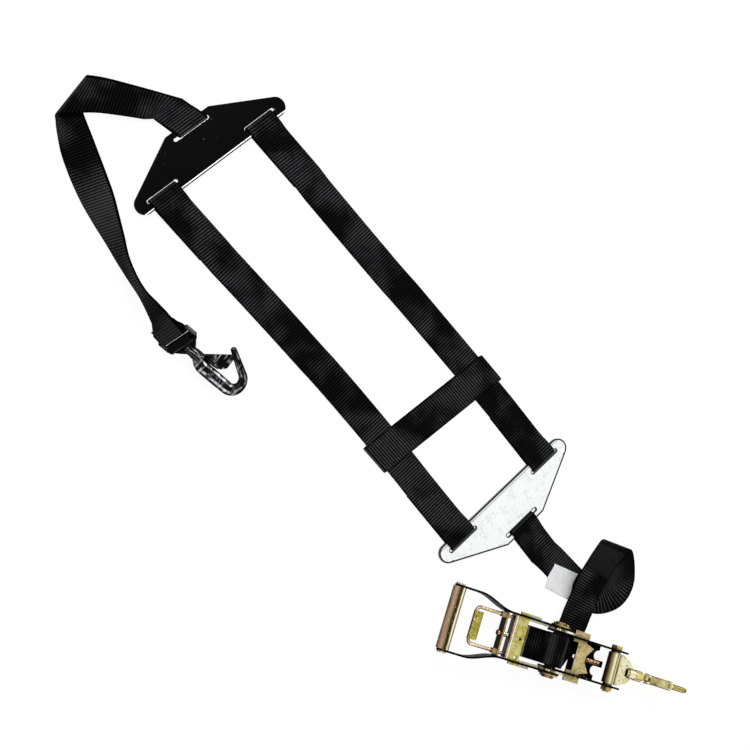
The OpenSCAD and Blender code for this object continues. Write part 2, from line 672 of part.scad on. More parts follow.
// ---------- handle ----------
// Plan of an arm: straight beside the drum, then an S bend out to the grip
arm_flat = 92;
flare_at = 150;
grip_half = grip_l / 2;
arm_flare = grip_half + 0.3 - arm_in;
function s_bend(t) = t * t * (3 - 2 * t);
arm_plan = concat(
  [[arm_eye_r + 2, 0], [-arm_flat, 0]],
  [for (t = [0.125:0.125:1]) [-arm_flat - (flare_at - arm_flat) * t, arm_flare * s_bend(t)]],
  [[-grip_reach - arm_h / 2 - 2, arm_flare]]);
module arm_plan_shape() {
  polygon(concat([for (p = arm_plan) p + [0, arm_in]],
    [for (p = flip(arm_plan)) p + [0, arm_out]]));
}
module arm_side_shape() {
  difference() {
    banded([[0, drum_z, arm_eye_r], [-70, drum_z - 1, 13.5], [-grip_reach, drum_z, arm_h / 2],
      [-70, drum_z - 1, 13.5]]);
    translate([0, drum_z]) circle(r = spindle_r + running);
    translate([-grip_reach, drum_z]) circle(r = grip_rod_r);
    // slot that guides the drive pawl's ends
    translate([-86 - drive_travel, pawl_top - pawl_t - side_gap])
      square([50 + drive_travel, pawl_t + 2 * side_gap]);
  }
}
module handle_arm() {
  intersection() {
    linear_extrude(2 * drum_z) arm_plan_shape();
    upright(0, arm_out + arm_flare + bite) arm_side_shape();
  }
}
module handle_arm_left() { color(gloss) at_ratchet() handle_arm(); }
module handle_arm_right() { color(gloss) at_ratchet() mirror([0, 1, 0]) handle_arm(); }

pawl_top = drum_z + 9;
bar_x = -97;
bar_h = 17;
wire_z = drum_z + 1;
module cross_bar() {
  color(brown) at_ratchet() difference() {
    translate([bar_x, -arm_in, drum_z - 11]) cube([pawl_t, 2 * arm_in, bar_h]);
    for (s = [-1, 1]) translate([bar_x - bite, s * (pull_half - pull_r), wire_z])
      rotate([0, 90, 0]) cylinder(r = pull_r + side_gap, h = pawl_t + 2 * bite);
    translate([bar_x - bite, 0, wire_z]) rotate([0, 90, 0])
      cylinder(r = pin_r + side_gap, h = pawl_t + 2 * bite);
  }
}
module at_grip() {
  at_ratchet() translate([-grip_reach, 0, drum_z]) children();
}
module grip_tube() {
  color(zinc) at_grip() difference() {
    along_side(-grip_half, grip_half, grip_r);
    along_side(-grip_half - bite, grip_half + bite, grip_r - grip_wall);
  }
}
rod_end = grip_half + 0.3 + arm_t;
module grip_rod() {
  color(steel) at_grip() {
    along_side(-rod_end, rod_end, grip_rod_r);
    for (s = [-1, 1]) along_side(s > 0 ? rod_end : -rod_end - 2.5, s > 0 ? rod_end + 2.5 : -rod_end, 7);
    // end plugs that carry the tube
    for (s = [-1, 1]) along_side(s > 0 ? grip_half - 8 : -grip_half, s > 0 ? grip_half : 8 - grip_half,
      grip_r - grip_wall);
  }
}

// ---------- drive pawl ----------
pin_r = 2.5;
pawl_back = -84;
pawl_front = -60;
pawl_half = arm_in - side_gap;
module drive_pawl() {
  ear = -sqrt(pow(wheel_r + pawl_clear, 2) - pow(pawl_top - pawl_t - drum_z, 2));
  color(zinc) at_ratchet() {
    difference() {
      translate([pawl_back, -pawl_half, pawl_top - pawl_t])
        cube([pawl_front - pawl_back, 2 * pawl_half, pawl_t]);
      for (y = [0, -pawl_half + 4.5]) translate([-67, y, pawl_top - pawl_t - bite])
        cylinder(r = 2.6, h = pawl_t + 2 * bite);
    }
    // rear wall, with holes for the pull's legs and the guide pin
    difference() {
      translate([pawl_back, -pawl_half, wire_z - 6]) cube([pawl_t, 2 * pawl_half, pawl_top - wire_z + 6]);
      for (s = [-1, 1]) translate([pawl_back - bite, s * (pull_half - pull_r), wire_z])
        rotate([0, 90, 0]) cylinder(r = pull_r, h = pawl_t + 2 * bite);
      translate([pawl_back - bite, 0, wire_z]) rotate([0, 90, 0])
        cylinder(r = pin_r, h = pawl_t + 2 * bite);
    }
    // front lip, bent down
    translate([pawl_front - 1, 0, pawl_top - pawl_t]) rotate([0, 35, 0])
      translate([-1, -frame_w / 2 + 3, 0]) cube([8, frame_w - 6, pawl_t]);
    // ears that reach for the wheels, and the guides outside the arms
    for (s = [-1, 1]) {
      translate([pawl_front - 4, s > 0 ? wheel_in : -wheel_in - wheel_t, pawl_top - pawl_t])
        cube([ear - pawl_front + 4, wheel_t, pawl_t]);
      translate([pawl_back + 8, s > 0 ? wheel_in : -arm_out - 4, pawl_top - pawl_t])
        cube([36, arm_out + 4 - wheel_in, pawl_t]);
    }
  }
}
module guide_pin() {
  color(brown) at_ratchet() translate([bar_x - 7, 0, wire_z]) rotate([0, 90, 0]) {
    cylinder(r = 4, h = 3);
    cylinder(r = pin_r, h = pawl_back + pawl_t - bar_x + 7);
  }
}
drive_wire_r = 0.5;
drive_coil = coil(bar_x + pawl_t + 0.3 + drive_wire_r, pawl_back - 0.3 - drive_wire_r, 4, 3);
echo(drive_spring_gap = coil_gap(drive_coil, drive_wire_r));
module drive_spring() {
  color(steel) at_ratchet() translate([0, 0, wire_z]) wire(drive_coil, drive_wire_r);
}
// The U-shaped pull: two legs, two round corners and the bow
corner_r = 6;
leg_y = pull_half - pull_r;
module release_pull() {
  color(brown) at_ratchet() translate([0, 0, wire_z]) {
    for (s = [-1, 1]) {
      translate([-pull_reach + corner_r, s * leg_y, 0]) rotate([0, 90, 0])
        cylinder(r = pull_r, h = pull_reach - corner_r + pawl_back + pawl_t);
      translate([-pull_reach + corner_r, s * (leg_y - corner_r), 0])
        rotate(s > 0 ? 90 : 180) rotate_extrude(angle = 90) translate([corner_r, 0]) circle(r = pull_r);
    }
    translate([-pull_reach, 0, 0]) rotate([90, 0, 0])
      cylinder(r = pull_r, h = 2 * (leg_y - corner_r), center = true);
  }
}
tab_half = leg_y - corner_r - 0.5;
tab_r = pull_r + 0.9;
module finger_tab() {
  color([0.78, 0.74, 0.2]) at_ratchet() translate([-pull_reach, 0, wire_z]) difference() {
    union() {
      along_side(-tab_half, tab_half, tab_r);
      translate([0, -tab_half, -tab_r]) cube([9, 2 * tab_half, 2 * tab_r]);
      translate([9, 0, 0]) along_side(-tab_half, tab_half, tab_r);
    }
    along_side(-tab_half - bite, tab_half + bite, pull_r);
  }
}
module pull_ferrules() {
  color(zinc) at_ratchet() for (s = [-1, 1]) difference() {
    translate([bar_x - 8, s * leg_y - 4, wire_z - 4]) cube([7.5, 8, 8]);
    translate([bar_x - 8 - bite, s * leg_y, wire_z]) rotate([0, 90, 0])
      cylinder(r = pull_r, h = 7.5 + 2 * bite);
  }
}

// ---------- swivel hooks ----------
knob_r = 8.5;
knob_half = 6.5;
boss_end = -knob_half - 0.4;              // front of the bracket's boss, from the knob's centre
boss_l = 11;
boss_back = boss_end - boss_l;
module along_pull(from, to, r) {
  translate([from, 0, 0]) rotate([0, 90, 0]) cylinder(r = r, h = to - from);
}
// The hook in its own frame: the knob at the origin, x towards the bowl, spine at -y
spine_y = -8;
bowl_y = spine_y + bowl_r;
nose_from = [hook_l, bowl_y] + polar(bowl_r, 90 - nose_flare);
nose_to = nose_from + polar(nose_l, 180 - nose_flare);
bar_sides = 16;
arc_to = 180 - nose_flare;
nose_half = bowl_half - 1.4;
// The middle of the bar with its half width: neck, spine, bowl and nose, and the rings of its round tip
bar_run = concat(
  [[1, -3.5, 7], [7, spine_y + 1.6, 8.8], [14, spine_y + 0.3, spine_half], [24, spine_y, spine_half],
    [hook_l - 20, spine_y, spine_half]],
  [for (t = [0:10:arc_to])
    let (q = [hook_l, bowl_y] + polar(bowl_r, t - 90), f = t / arc_to)
    [q[0], q[1], f < 0.5 ? lerp(spine_half - 0.4, bowl_half, 2 * f) : lerp(bowl_half, nose_half, 2 * f - 1)]],
  [for (f = [0.25:0.25:1])
    let (q = lerp(nose_from, nose_to, f)) [q[0], q[1], lerp(nose_half, tip_half, f)]],
  [for (t = [20:20:80])
    let (q = nose_to + polar(tip_half * sin(t), 180 - nose_flare)) [q[0], q[1], tip_half * cos(t)]]);
bar_path = [for (e = bar_run) [e[0], e[1], 0]];
bar_radii = [for (i = [0:len(bar_run) - 1])
  let (tip = max(0, i - len(bar_run) + 5)) [bar_run[i][2], hook_thin * cos(20 * tip)]];
gate_pivot = [12.7, 7.6];
gate_pin_r = 2;
lug_half = 5.6;
lug_top = 2;                              // lower on the side where the gate's spring sits
module hook_body() {
  difference() {
    union() {
      along_pull(-knob_half, knob_half, knob_r);
      bar_along(bar_path, bar_radii, bar_sides);
      // lug that carries the gate's pin
      translate([3, -6, -lug_half]) cube([gate_pivot[0] + 1, gate_pivot[1] + 6, lug_half + lug_top]);
      translate([gate_pivot[0], gate_pivot[1], -lug_half]) cylinder(r = 4, h = lug_half + lug_top);
    }
    along_pull(-knob_half - bite, 1, swivel_r);
    translate([gate_pivot[0], gate_pivot[1], -lug_half - bite])
      cylinder(r = gate_pin_r, h = 2 * lug_half + 2 * bite);
  }
}
// The gate: two three-cornered sheets beside the nose, joined by a back along their upper edge
gate_in = 6;
gate_top = nose_to + [4.4, -7.4] - gate_pivot;
gate_slope = atan2(gate_top[1], gate_top[0]);
module at_gate() {
  translate([gate_pivot[0], gate_pivot[1], 0]) children();
}
module gate_side_shape() {
  difference() {
    banded([[0, 0, 4.6], [23, 0.5, 3.5], [gate_top[0] - 1.2, 6, 3], [gate_top[0], gate_top[1], 2]]);
    circle(r = gate_pin_r + running);
  }
}
module gate_body() {
  at_gate() {
    for (z = [-gate_in - gate_t, gate_in]) translate([0, 0, z]) linear_extrude(gate_t) gate_side_shape();
    rotate(gate_slope) translate([7, 1, -gate_in - tiny])
      cube([norm(gate_top) - 9, gate_t, 2 * gate_in + 2 * tiny]);
  }
}
module gate_pin_body() {
  translate([gate_pivot[0], gate_pivot[1], -gate_in - gate_t - 1.2]) {
    cylinder(r = gate_pin_r, h = 2 * (gate_in + gate_t + 1.2));
    cylinder(r = 3.2, h = 1);
    translate([0, 0, 2 * (gate_in + gate_t + 1.2) - 1]) cylinder(r = 3.2, h = 1);
  }
}
// The gate's spring: two turns of wire round the pin
gate_wire_r = 0.4;
gate_coil = [for (i = [0:16]) let (a = 45 * i, r = gate_pin_r + 0.35 + gate_wire_r)
  [gate_pivot[0] + r * cos(a), gate_pivot[1] + r * sin(a), lug_top + 0.3 + gate_wire_r + 1.35 * i / 8]];
echo(gate_spring_gap = coil_gap(gate_coil, gate_wire_r));
module gate_spring_body() { wire(gate_coil, gate_wire_r); }
// The bracket in its own frame, whose origin is the hook's knob: a barrel, a tapered plate and a boss
module bracket_body(reach, barrel_r, bore_r) {
  plate_z = 4;
  shoulder = (reach - 18) / 2;
  difference() {
    union() {
      translate([-reach, 0, 0]) along_side(-barrel_l / 2, barrel_l / 2, barrel_r);
      translate([0, 0, -plate_z / 2]) linear_extrude(plate_z) difference() {
        polygon([
          [-reach + 3, -barrel_l / 2], [-reach + shoulder, -barrel_l / 2], [boss_back, -17],
          [boss_end - 4, -8], [boss_end - 4, 8], [boss_back, 17], [-reach + shoulder, barrel_l / 2],
          [-reach + 3, barrel_l / 2]]);
        translate([boss_back - 6, -8]) square([6, 16]);
      }
      along_pull(boss_back, boss_end, 8);
    }
    translate([-reach, 0, 0]) along_side(-barrel_l, barrel_l, bore_r);
    along_pull(boss_back - bite, boss_end + bite, swivel_r + running);
  }
}
// The swivel pin: fixed in the knob, through the boss, with its riveted head in the plate's window
module swivel_pin_body() {
  along_pull(boss_back - 1, 1, swivel_r);
  along_pull(boss_back - 0.4 - 3.5, boss_back - 0.4, 6.8);
}

module lead_link() {
  side = barrel_l / 2 + 1.5 + link_r;
  color(smoke) at_lead(lead_roll) for (x = [-lead_reach, link_back]) {
    translate([x, 0, 0]) along_side(-side, side, link_r);
    for (s = [-1, 1]) {
      translate([x, s * side, 0]) sphere(r = link_r);
      translate([link_back, s * side, 0]) rotate([0, 90, 0]) cylinder(r = link_r, h = link_l);
    }
  }
}
lead_hook_roll = 0;
module lead_bracket() { color(smoke) at_lead(lead_roll) bracket_body(lead_reach, 8, link_r + running); }
module lead_swivel_pin() { color(smoke) at_lead(lead_roll) swivel_pin_body(); }
module lead_hook() { color(smoke) at_lead(lead_hook_roll) hook_body(); }
module lead_gate() { color(smoke) at_lead(lead_hook_roll) gate_body(); }
module lead_gate_pin() { color(smoke) at_lead(lead_hook_roll) gate_pin_body(); }
module lead_gate_spring() { color(smoke) at_lead(lead_hook_roll) gate_spring_body(); }

module at_anchor(roll) {
  at_bolt() translate([eye_reach, 0, 0]) rotate([roll, 0, 0]) children();
}
module anchor_bracket() { color(zinc) at_anchor(0) bracket_body(eye_reach, spacer_r + 2.8, spacer_r + running); }
module anchor_swivel_pin() { color(zinc) at_anchor(0) swivel_pin_body(); }
module anchor_hook() { color(zinc) at_anchor(90) hook_body(); }
module anchor_gate() { color(zinc) at_anchor(90) gate_body(); }
module anchor_gate_pin() { color(zinc) at_anchor(90) gate_pin_body(); }
module anchor_gate_spring() { color(zinc) at_anchor(90) gate_spring_body(); }

// ---------- the set ----------
translate(-middle) {
  head_plate();
  foot_plate();
  left_long_strap();
  right_long_strap();
  cross_strap();
  lead_strap();
  ratchet_strap();
  strap_end();
  strap_patch();
  label_tag();
  ratchet_frame();
  locking_pawl();
  locking_spring();
  anchor_bolt();
  anchor_nut();
  anchor_spacer();
  drum_half_front();
  drum_half_rear();
  ratchet_wheel_left();
  ratchet_wheel_right();
  drum_washers();
  drum_clips();
  drum_winding();
  handle_arm_left();
  handle_arm_right();
  cross_bar();
  grip_tube();
  grip_rod();
  drive_pawl();
  guide_pin();
  drive_spring();
  release_pull();
  finger_tab();
  pull_ferrules();
  lead_link();
  lead_bracket();
  lead_swivel_pin();
  lead_hook();
  lead_gate();
  lead_gate_pin();
  lead_gate_spring();
  anchor_bracket();
  anchor_swivel_pin();
  anchor_hook();
  anchor_gate();
  anchor_gate_pin();
  anchor_gate_spring();
}
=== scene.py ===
import json
import math

import bpy
import numpy as np
from mathutils import Matrix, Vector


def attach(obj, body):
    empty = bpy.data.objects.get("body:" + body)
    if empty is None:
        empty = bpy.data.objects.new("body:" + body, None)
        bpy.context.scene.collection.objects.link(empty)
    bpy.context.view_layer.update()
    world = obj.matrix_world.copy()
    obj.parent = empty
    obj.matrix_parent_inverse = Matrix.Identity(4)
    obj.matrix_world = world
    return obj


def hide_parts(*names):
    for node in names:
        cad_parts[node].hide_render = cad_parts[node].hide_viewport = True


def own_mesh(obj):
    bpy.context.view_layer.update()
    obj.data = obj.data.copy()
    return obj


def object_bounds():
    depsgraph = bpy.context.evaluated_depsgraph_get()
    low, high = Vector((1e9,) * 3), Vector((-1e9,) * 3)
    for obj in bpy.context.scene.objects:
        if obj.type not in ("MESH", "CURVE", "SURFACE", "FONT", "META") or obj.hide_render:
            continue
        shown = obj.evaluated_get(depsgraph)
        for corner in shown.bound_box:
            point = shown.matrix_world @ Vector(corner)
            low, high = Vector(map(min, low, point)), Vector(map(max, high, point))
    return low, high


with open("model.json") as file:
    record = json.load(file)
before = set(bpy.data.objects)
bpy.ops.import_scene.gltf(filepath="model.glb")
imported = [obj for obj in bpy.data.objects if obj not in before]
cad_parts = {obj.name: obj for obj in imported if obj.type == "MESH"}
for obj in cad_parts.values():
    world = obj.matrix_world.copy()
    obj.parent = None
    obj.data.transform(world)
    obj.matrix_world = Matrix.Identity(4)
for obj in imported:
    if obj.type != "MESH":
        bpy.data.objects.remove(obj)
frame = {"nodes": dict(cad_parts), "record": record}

bl_info = {
    "name": "Wheel tie-down set",
    "version": (1, 0, 0),
    "blender": (4, 5, 0),
    "location": "View3D > Sidebar > Tie-down",
    "description": "Webbing, finishes and studio for the wheel tie-down set",
    "category": "Object",
}

MM = 0.001
CAD_BOX = [list(corner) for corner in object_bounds()]
# The set was laid out about another point: this is the middle of its box, in millimetres
MIDDLE = np.array([59.1, -25.9, 0.0])


# ---------- curves ----------
def smooth(points, steps):
    """Catmull-Rom through p: q(t) = ((2b) + (c-a)t + (2a-5b+4c-d)t^2 + (3b-a-3c+d)t^3) / 2."""
    p = np.asarray(points, float)
    rows = []
    for i in range(len(p) - 1):
        a, b, c, d = p[max(i - 1, 0)], p[i], p[i + 1], p[min(i + 2, len(p) - 1)]
        for k in range(steps):
            t = k / steps
            square = (2 * a - 5 * b + 4 * c - d) * t**2
            cube = (3 * b - a - 3 * c + d) * t**3
            rows.append(0.5 * (2 * b + (c - a) * t + square + cube))
    rows.append(p[-1])
    return np.array(rows)


def polar(radius, degrees):
    """(r cos a, r sin a)."""
    angle = math.radians(degrees)
    return np.array([radius * math.cos(angle), radius * math.sin(angle)])


def unit(v):
    """v / |v| along the last axis."""
    return v / np.maximum(np.linalg.norm(v, axis=-1, keepdims=True), 1e-12)


# ---------- sizes that the straps share with the solids, in millimetres and degrees ----------
WEB = 50.0                            # width of the webbing
T = 2.5                               # its thickness
SKIN = 0.4                            # gap between two layers, or a layer and a plate
LAYER_1 = T / 2                       # middle of the layer on the floor
LAYER_2 = LAYER_1 + T + SKIN          # middle of the layer above it
DECK = T + SKIN                       # underside of the plates
PLATE_T = 5.0                         # thickness of the plates
OVER = DECK + PLATE_T + SKIN + T / 2  # middle of the webbing over a plate's bar
PLATE_SPAN = 248.0                    # between the centres of a plate's round ends
END_R = 15.0                          # radius of those ends
APEX_H = 58.0                         # apex edge over the line of the ends' centres
SIDE_X, SIDE_Y, SIDE_AT = 0.8977, 0.4407, 69.65  # slanted side: SIDE_X x + SIDE_Y y = SIDE_AT
SLOT_W = 5.0                          # width of the slots
SLOT_MID = 91.5                       # outer slots, from the plate's middle
SLOT_HALF, APEX_SLOT_HALF = 26.0, 30.5  # half the straight part of an outer and of the apex slot
BASE_BAR, APEX_BAR = 12.5, 9.0        # metal between the slots and the plate's edge
HEAD_BASE, FOOT_BASE = np.array([-404.1, 27.1]), np.array([283.9, 24.9])
HEAD_TURN, FOOT_TURN = -3.9, -2.8     # turn of the plates
HEAD_HEADING, FOOT_HEADING = 1.0, -1.8  # heading of the long straps at the plates
BOW = 3.5                             # sideways bow of the long straps
TAIL, LEAD_TAIL, RATCHET_TAIL = 95.0, 30.0, 52.0  # sewn-back ends
LOOP_MORE = 18.0                      # webbing in a loop, beyond its tail and its bar
CROSS_X, CROSS_SLANT = 106.0, 6.5     # place and slant of the cross strap
CROSS_IN = T / 2 + SKIN               # half the height inside the cross strap
DRUM = np.array([504.0, -79.0, 30.0])  # middle of the drum
RATCHET_TURN = 28.6
CORE_R, ROLL_T, ROLL_PITCH = 9.4, 2.4, 2.85  # roll: core, webbing and step of a turn
GRIP_A, BOLT_A, BARREL_A = -184.0, 107.0, 108.0  # from the drum: grip, anchor bolt, bracket's barrel
SHARP = 32                            # degrees from which an edge of a solid shows as sharp


def bar_loop(bar, tail):
    """Side view of webbing round a bar: (distance out from the bar's edge, height).

    It lies flat under the bar, and two quarter ellipses take it through the slot and over the bar,
    (c - a sin t, m + b cos t) and (c - a cos t, m + b sin t), full enough to fill the slot.
    """
    low = [(tail, LAYER_1), (tail * 0.6, LAYER_1), (16, LAYER_1), (0, LAYER_1), (3 - bar, LAYER_1)]
    t = np.radians(np.arange(0, 91, 11.25))
    middle = DECK + PLATE_T / 2
    reach = SLOT_W - T / 2 - 0.6
    under_x, under_z = 3 - bar - (reach + 3) * np.sin(t), middle + (LAYER_1 - middle) * np.cos(t)
    over_x, over_z = 4 - bar - (reach + 4) * np.cos(t), middle + (OVER + 0.5 - middle) * np.sin(t)
    under = np.stack([under_x, under_z], axis=1)[1:-1]
    over = np.stack([over_x, over_z], axis=1)
    out = [(-bar / 2 + 2, OVER + 0.2), (0, OVER - 0.2), (7, OVER - 1.3)]
    out += [(16, LAYER_2 + 1.2), (26, LAYER_2), (tail, LAYER_2)]
    return np.vstack([low, under, over, out])


def laid(loop, at, direction, slant=0.0):
    """The side view set down in plan, as rails (left, right), with the webbing slanted on its bar."""
    along, side = polar(1, direction), polar(1, direction + 90)
    half = WEB / 2 / math.cos(math.radians(slant))
    centre = at + loop[:, :1] * along + loop[:, :1] * math.tan(math.radians(slant)) * side
    z = loop[:, 1:]
    return np.hstack([centre + side * half, z]), np.hstack([centre - side * half, z])


def on_plate(base, turn, sign, out, along):
    """A point of a plate: out towards its apex and along its base."""
    return base + sign * polar(out, turn) + polar(along, turn + 90)


def lane(side, t):
    """The middle line of a long strap between its tails: a cubic curve with corners p0..p3."""
    a = on_plate(HEAD_BASE, HEAD_TURN, -1, -END_R, side * SLOT_MID)
    b = on_plate(FOOT_BASE, FOOT_TURN, 1, -END_R, side * SLOT_MID)
    run_a = np.array([1, math.tan(math.radians(HEAD_HEADING))])
    run_b = np.array([1, math.tan(math.radians(FOOT_HEADING))])
    p0, p3 = a + run_a * TAIL, b - run_b * TAIL
    reach = (p3[0] - p0[0]) / 3
    bow = np.array([0, -side * BOW])
    p1, p2 = p0 + run_a * reach + bow, p3 - run_b * reach + bow
    u = 1 - t
    return p0 * u**3 + p1 * 3 * u * u * t + p2 * 3 * u * t * t + p3 * t**3


def long_strap(side):
    """Rails of a long strap: loop at the head plate, run, loop at the foot plate."""
    a = on_plate(HEAD_BASE, HEAD_TURN, -1, -END_R, side * SLOT_MID)
    b = on_plate(FOOT_BASE, FOOT_TURN, 1, -END_R, side * SLOT_MID)
    head = laid(bar_loop(BASE_BAR, TAIL), a, HEAD_TURN, HEAD_HEADING - HEAD_TURN)
    foot = laid(bar_loop(BASE_BAR, TAIL), b, FOOT_TURN + 180, FOOT_HEADING - FOOT_TURN)
    ts = np.arange(0.05, 0.96, 0.045)
    mids = np.array([lane(side, t) for t in ts])
    run = unit(np.gradient(mids, axis=0))
    out = np.stack([-run[:, 1], run[:, 0]], axis=1) * WEB / 2
    # the strap rises from the floor layer to the layer above the cross strap
    rise = np.clip((mids[:, :1] - (CROSS_X - 200)) / 40, 0, 1)
    z = LAYER_1 + (LAYER_2 - LAYER_1) * rise * rise * (3 - 2 * rise)
    left = np.vstack([head[0], np.hstack([mids + out, z]), foot[1][::-1]])
    right = np.vstack([head[1], np.hstack([mids - out, z]), foot[0][::-1]])
    return left, right


# ---------- webbing ----------
# Share of the width over which an edge is rounded, and the places across at which a strap has points
EDGE = 0.045
RIM = (0, 0.008, 0.02, EDGE, 0.12, 0.25, 0.4)
ACROSS = np.array(RIM + (0.5,) + tuple(1 - s for s in reversed(RIM)))


def lay_of(rails, ring=False):
    """Left rail, right rail, face normal and arc length at every station.

    The normal is n = unit((R - L) x run), where run is the way the middle line goes.
    """
    left, right = (np.asarray(rail, float) for rail in rails)
    middle = (left + right) / 2
    run = np.gradient(middle, axis=0)
    if ring:
        run = np.roll(middle, -1, axis=0) - np.roll(middle, 1, axis=0)
    normal = unit(np.cross(right - left, run))
    length = np.concatenate([[0], np.cumsum(np.linalg.norm(np.diff(middle, axis=0), axis=1))])
    return left, right, normal, length


def webbing(name, rails, mat, thickness=T, ring=False, lift=0.0):
    """A strap as one closed form over the grid (station, place round its cross section).

    A point at s across is L + s (R - L) + n (lift +- h(s)), where h rounds the two edges:
    h(s) = t/2 sqrt(1 - (1 - s/e)^2) for s < e, and t/2 between them. The UV map is in metres,
    across and along. Gives the piece, its width and its length.
    """
    left, right, normal, length = lay_of(rails, ring)
    near = np.minimum(np.minimum(ACROSS, 1 - ACROSS), EDGE)
    half = thickness / 2 * np.sqrt(1 - (1 - near / EDGE) ** 2)
    base = left[:, None] + ACROSS[None, :, None] * (right - left)[:, None] + lift * normal[:, None]
    thick = half[None, :, None] * normal[:, None]
    grid = np.concatenate([base + thick, (base - thick)[:, -2:0:-1]], axis=1)
    n, m = grid.shape[:2]
    width = np.linalg.norm(right - left, axis=1).mean() * MM
    closing = np.linalg.norm((left[0] + right[0] - left[-1] - right[-1]) / 2)
    ends = np.append(length, length[-1] + closing) * MM
    across = np.concatenate([ACROSS, ACROSS[-2:0:-1]]) * width
    i, k = np.meshgrid(np.arange(n if ring else n - 1), np.arange(m), indexing="ij")
    j, l = (i + 1) % n, (k + 1) % m
    faces = np.stack([i * m + k, i * m + l, j * m + l, j * m + k], axis=-1).reshape(-1, 4).tolist()
    u = np.stack([across[k], across[l], across[l], across[k]], axis=-1)
    v = np.stack([ends[i], ends[i], ends[i + 1], ends[i + 1]], axis=-1)
    uvs = np.stack([u, v], axis=-1).reshape(-1, 2)
    if not ring:
        first, last = np.arange(m)[::-1], np.arange(m)
        faces += [first.tolist(), ((n - 1) * m + last).tolist()]
        start_cap = np.stack([across[first], np.zeros(m)], 1)
        end_cap = np.stack([across[last], np.full(m, ends[n - 1])], 1)
        uvs = np.concatenate([uvs, start_cap, end_cap])
    obj = mesh_piece(name, (grid.reshape(-1, 3) - MIDDLE) * MM, faces, mat, uvs)
    return obj, width, float(ends[n] if ring else ends[n - 1])


def seam_points(strap, ring, u, v):
    """Points on a strap's face, u across and v along in mm, and the face's normal there."""
    left, right, normal, length = lay_of(strap, ring)
    tracks = [[np.interp(v, length, rail[:, k]) for k in range(3)] for rail in (left, right, normal)]
    low, high, face = (np.stack(track, axis=-1) for track in tracks)
    face = unit(face)
    return low + (u / WEB)[:, None] * (high - low) + face * (T / 2 + 0.02), face


def thread(name, strap, lines, mat, ring=False, pitch=3.6, radius=0.42):
    """Stitches on a strap's face: each is a six-sided bead from tip to tip, half sunk in the webbing.

    strap gives the rails and lines the seams as ((u0, v0), (u1, v1)), in mm across and along.
    A bead's ends are a and b, and its two rings a + d (b - a) + r (side cos g + face sin g).
    """
    starts, stops = [], []
    for line in np.asarray(lines, float):
        count = max(int(math.hypot(*(line[1] - line[0])) / pitch), 1)
        steps = np.arange(count)[:, None]
        starts.append(line[0] + (line[1] - line[0]) * (steps + 0.14) / count)
        stops.append(line[0] + (line[1] - line[0]) * (steps + 0.86) / count)
    a, face = seam_points(strap, ring, *np.concatenate(starts).T)
    b, _ = seam_points(strap, ring, *np.concatenate(stops).T)
    side = unit(np.cross(face, b - a))
    turn = np.radians(np.arange(0, 360, 60))
    hexagon = side[:, None] * np.cos(turn)[None, :, None] + face[:, None] * np.sin(turn)[None, :, None]
    near, far = (a + share * (b - a) for share in (0.18, 0.82))
    rings = [near[:, None] + radius * hexagon, far[:, None] + radius * hexagon]
    beads = np.concatenate([a[:, None]] + rings + [b[:, None]], axis=1)
    k = np.arange(6)
    l = (k + 1) % 6
    tips = np.concatenate([np.stack([0 * k, 1 + l, 1 + k], 1), np.stack([13 + 0 * k, 7 + k, 7 + l], 1)])
    walls = np.stack([1 + k, 1 + l, 7 + l, 7 + k], axis=1)
    shift = 14 * np.arange(len(beads))[:, None, None]
    faces = (tips + shift).reshape(-1, 3).tolist() + (walls + shift).reshape(-1, 4).tolist()
    return mesh_piece(name, (beads.reshape(-1, 3) - MIDDLE) * MM, faces, mat)


def seam(from_v, to_v, inset=5.0, rows=3):
    """A sewn box with cross rows: its lines in mm across and along the strap."""
    steps = np.linspace(from_v, to_v, rows + 2)
    sides = (WEB - inset, inset)
    zigzag = [((sides[i % 2], steps[i]), (sides[1 - i % 2], steps[i + 1])) for i in range(rows + 1)]
    return outline(inset, from_v, to_v) + zigzag


def outline(inset, from_v, to_v):
    """The four sides of a sewn box, inset from both edges of the strap."""
    corners = [(inset, from_v), (WEB - inset, from_v), (WEB - inset, to_v), (inset, to_v)]
    return list(zip(corners, corners[1:] + corners[:1]))


def rows_at(*places):
    """Seams straight across the strap, 4 mm clear of its edges."""
    return [((4, v), (WEB - 4, v)) for v in places]


def mesh_piece(name, verts, faces, mat, uvs=None, flat=False):
    """A mesh object at the origin with its place in its vertices."""
    mesh = bpy.data.meshes.new(name)
    mesh.from_pydata(np.asarray(verts, float).tolist(), [], faces)
    if uvs is not None:
        mesh.uv_layers.new(name="UVMap").data.foreach_set("uv", np.asarray(uvs, float).ravel())
    mesh.polygons.foreach_set("use_smooth", np.full(len(mesh.polygons), not flat))
    mesh.update()
    obj = bpy.data.objects.new(name, mesh)
    bpy.context.scene.collection.objects.link(obj)
    mesh.materials.append(mat)
    return obj


# ---------- shader formulas ----------
def both_ways(operation):
    """An operator of two values, and its reflected form."""
    def forward(self, other):
        return self.math(operation, self, other)

    def reflected(self, other):
        return self.math(operation, other, self)

    return forward, reflected


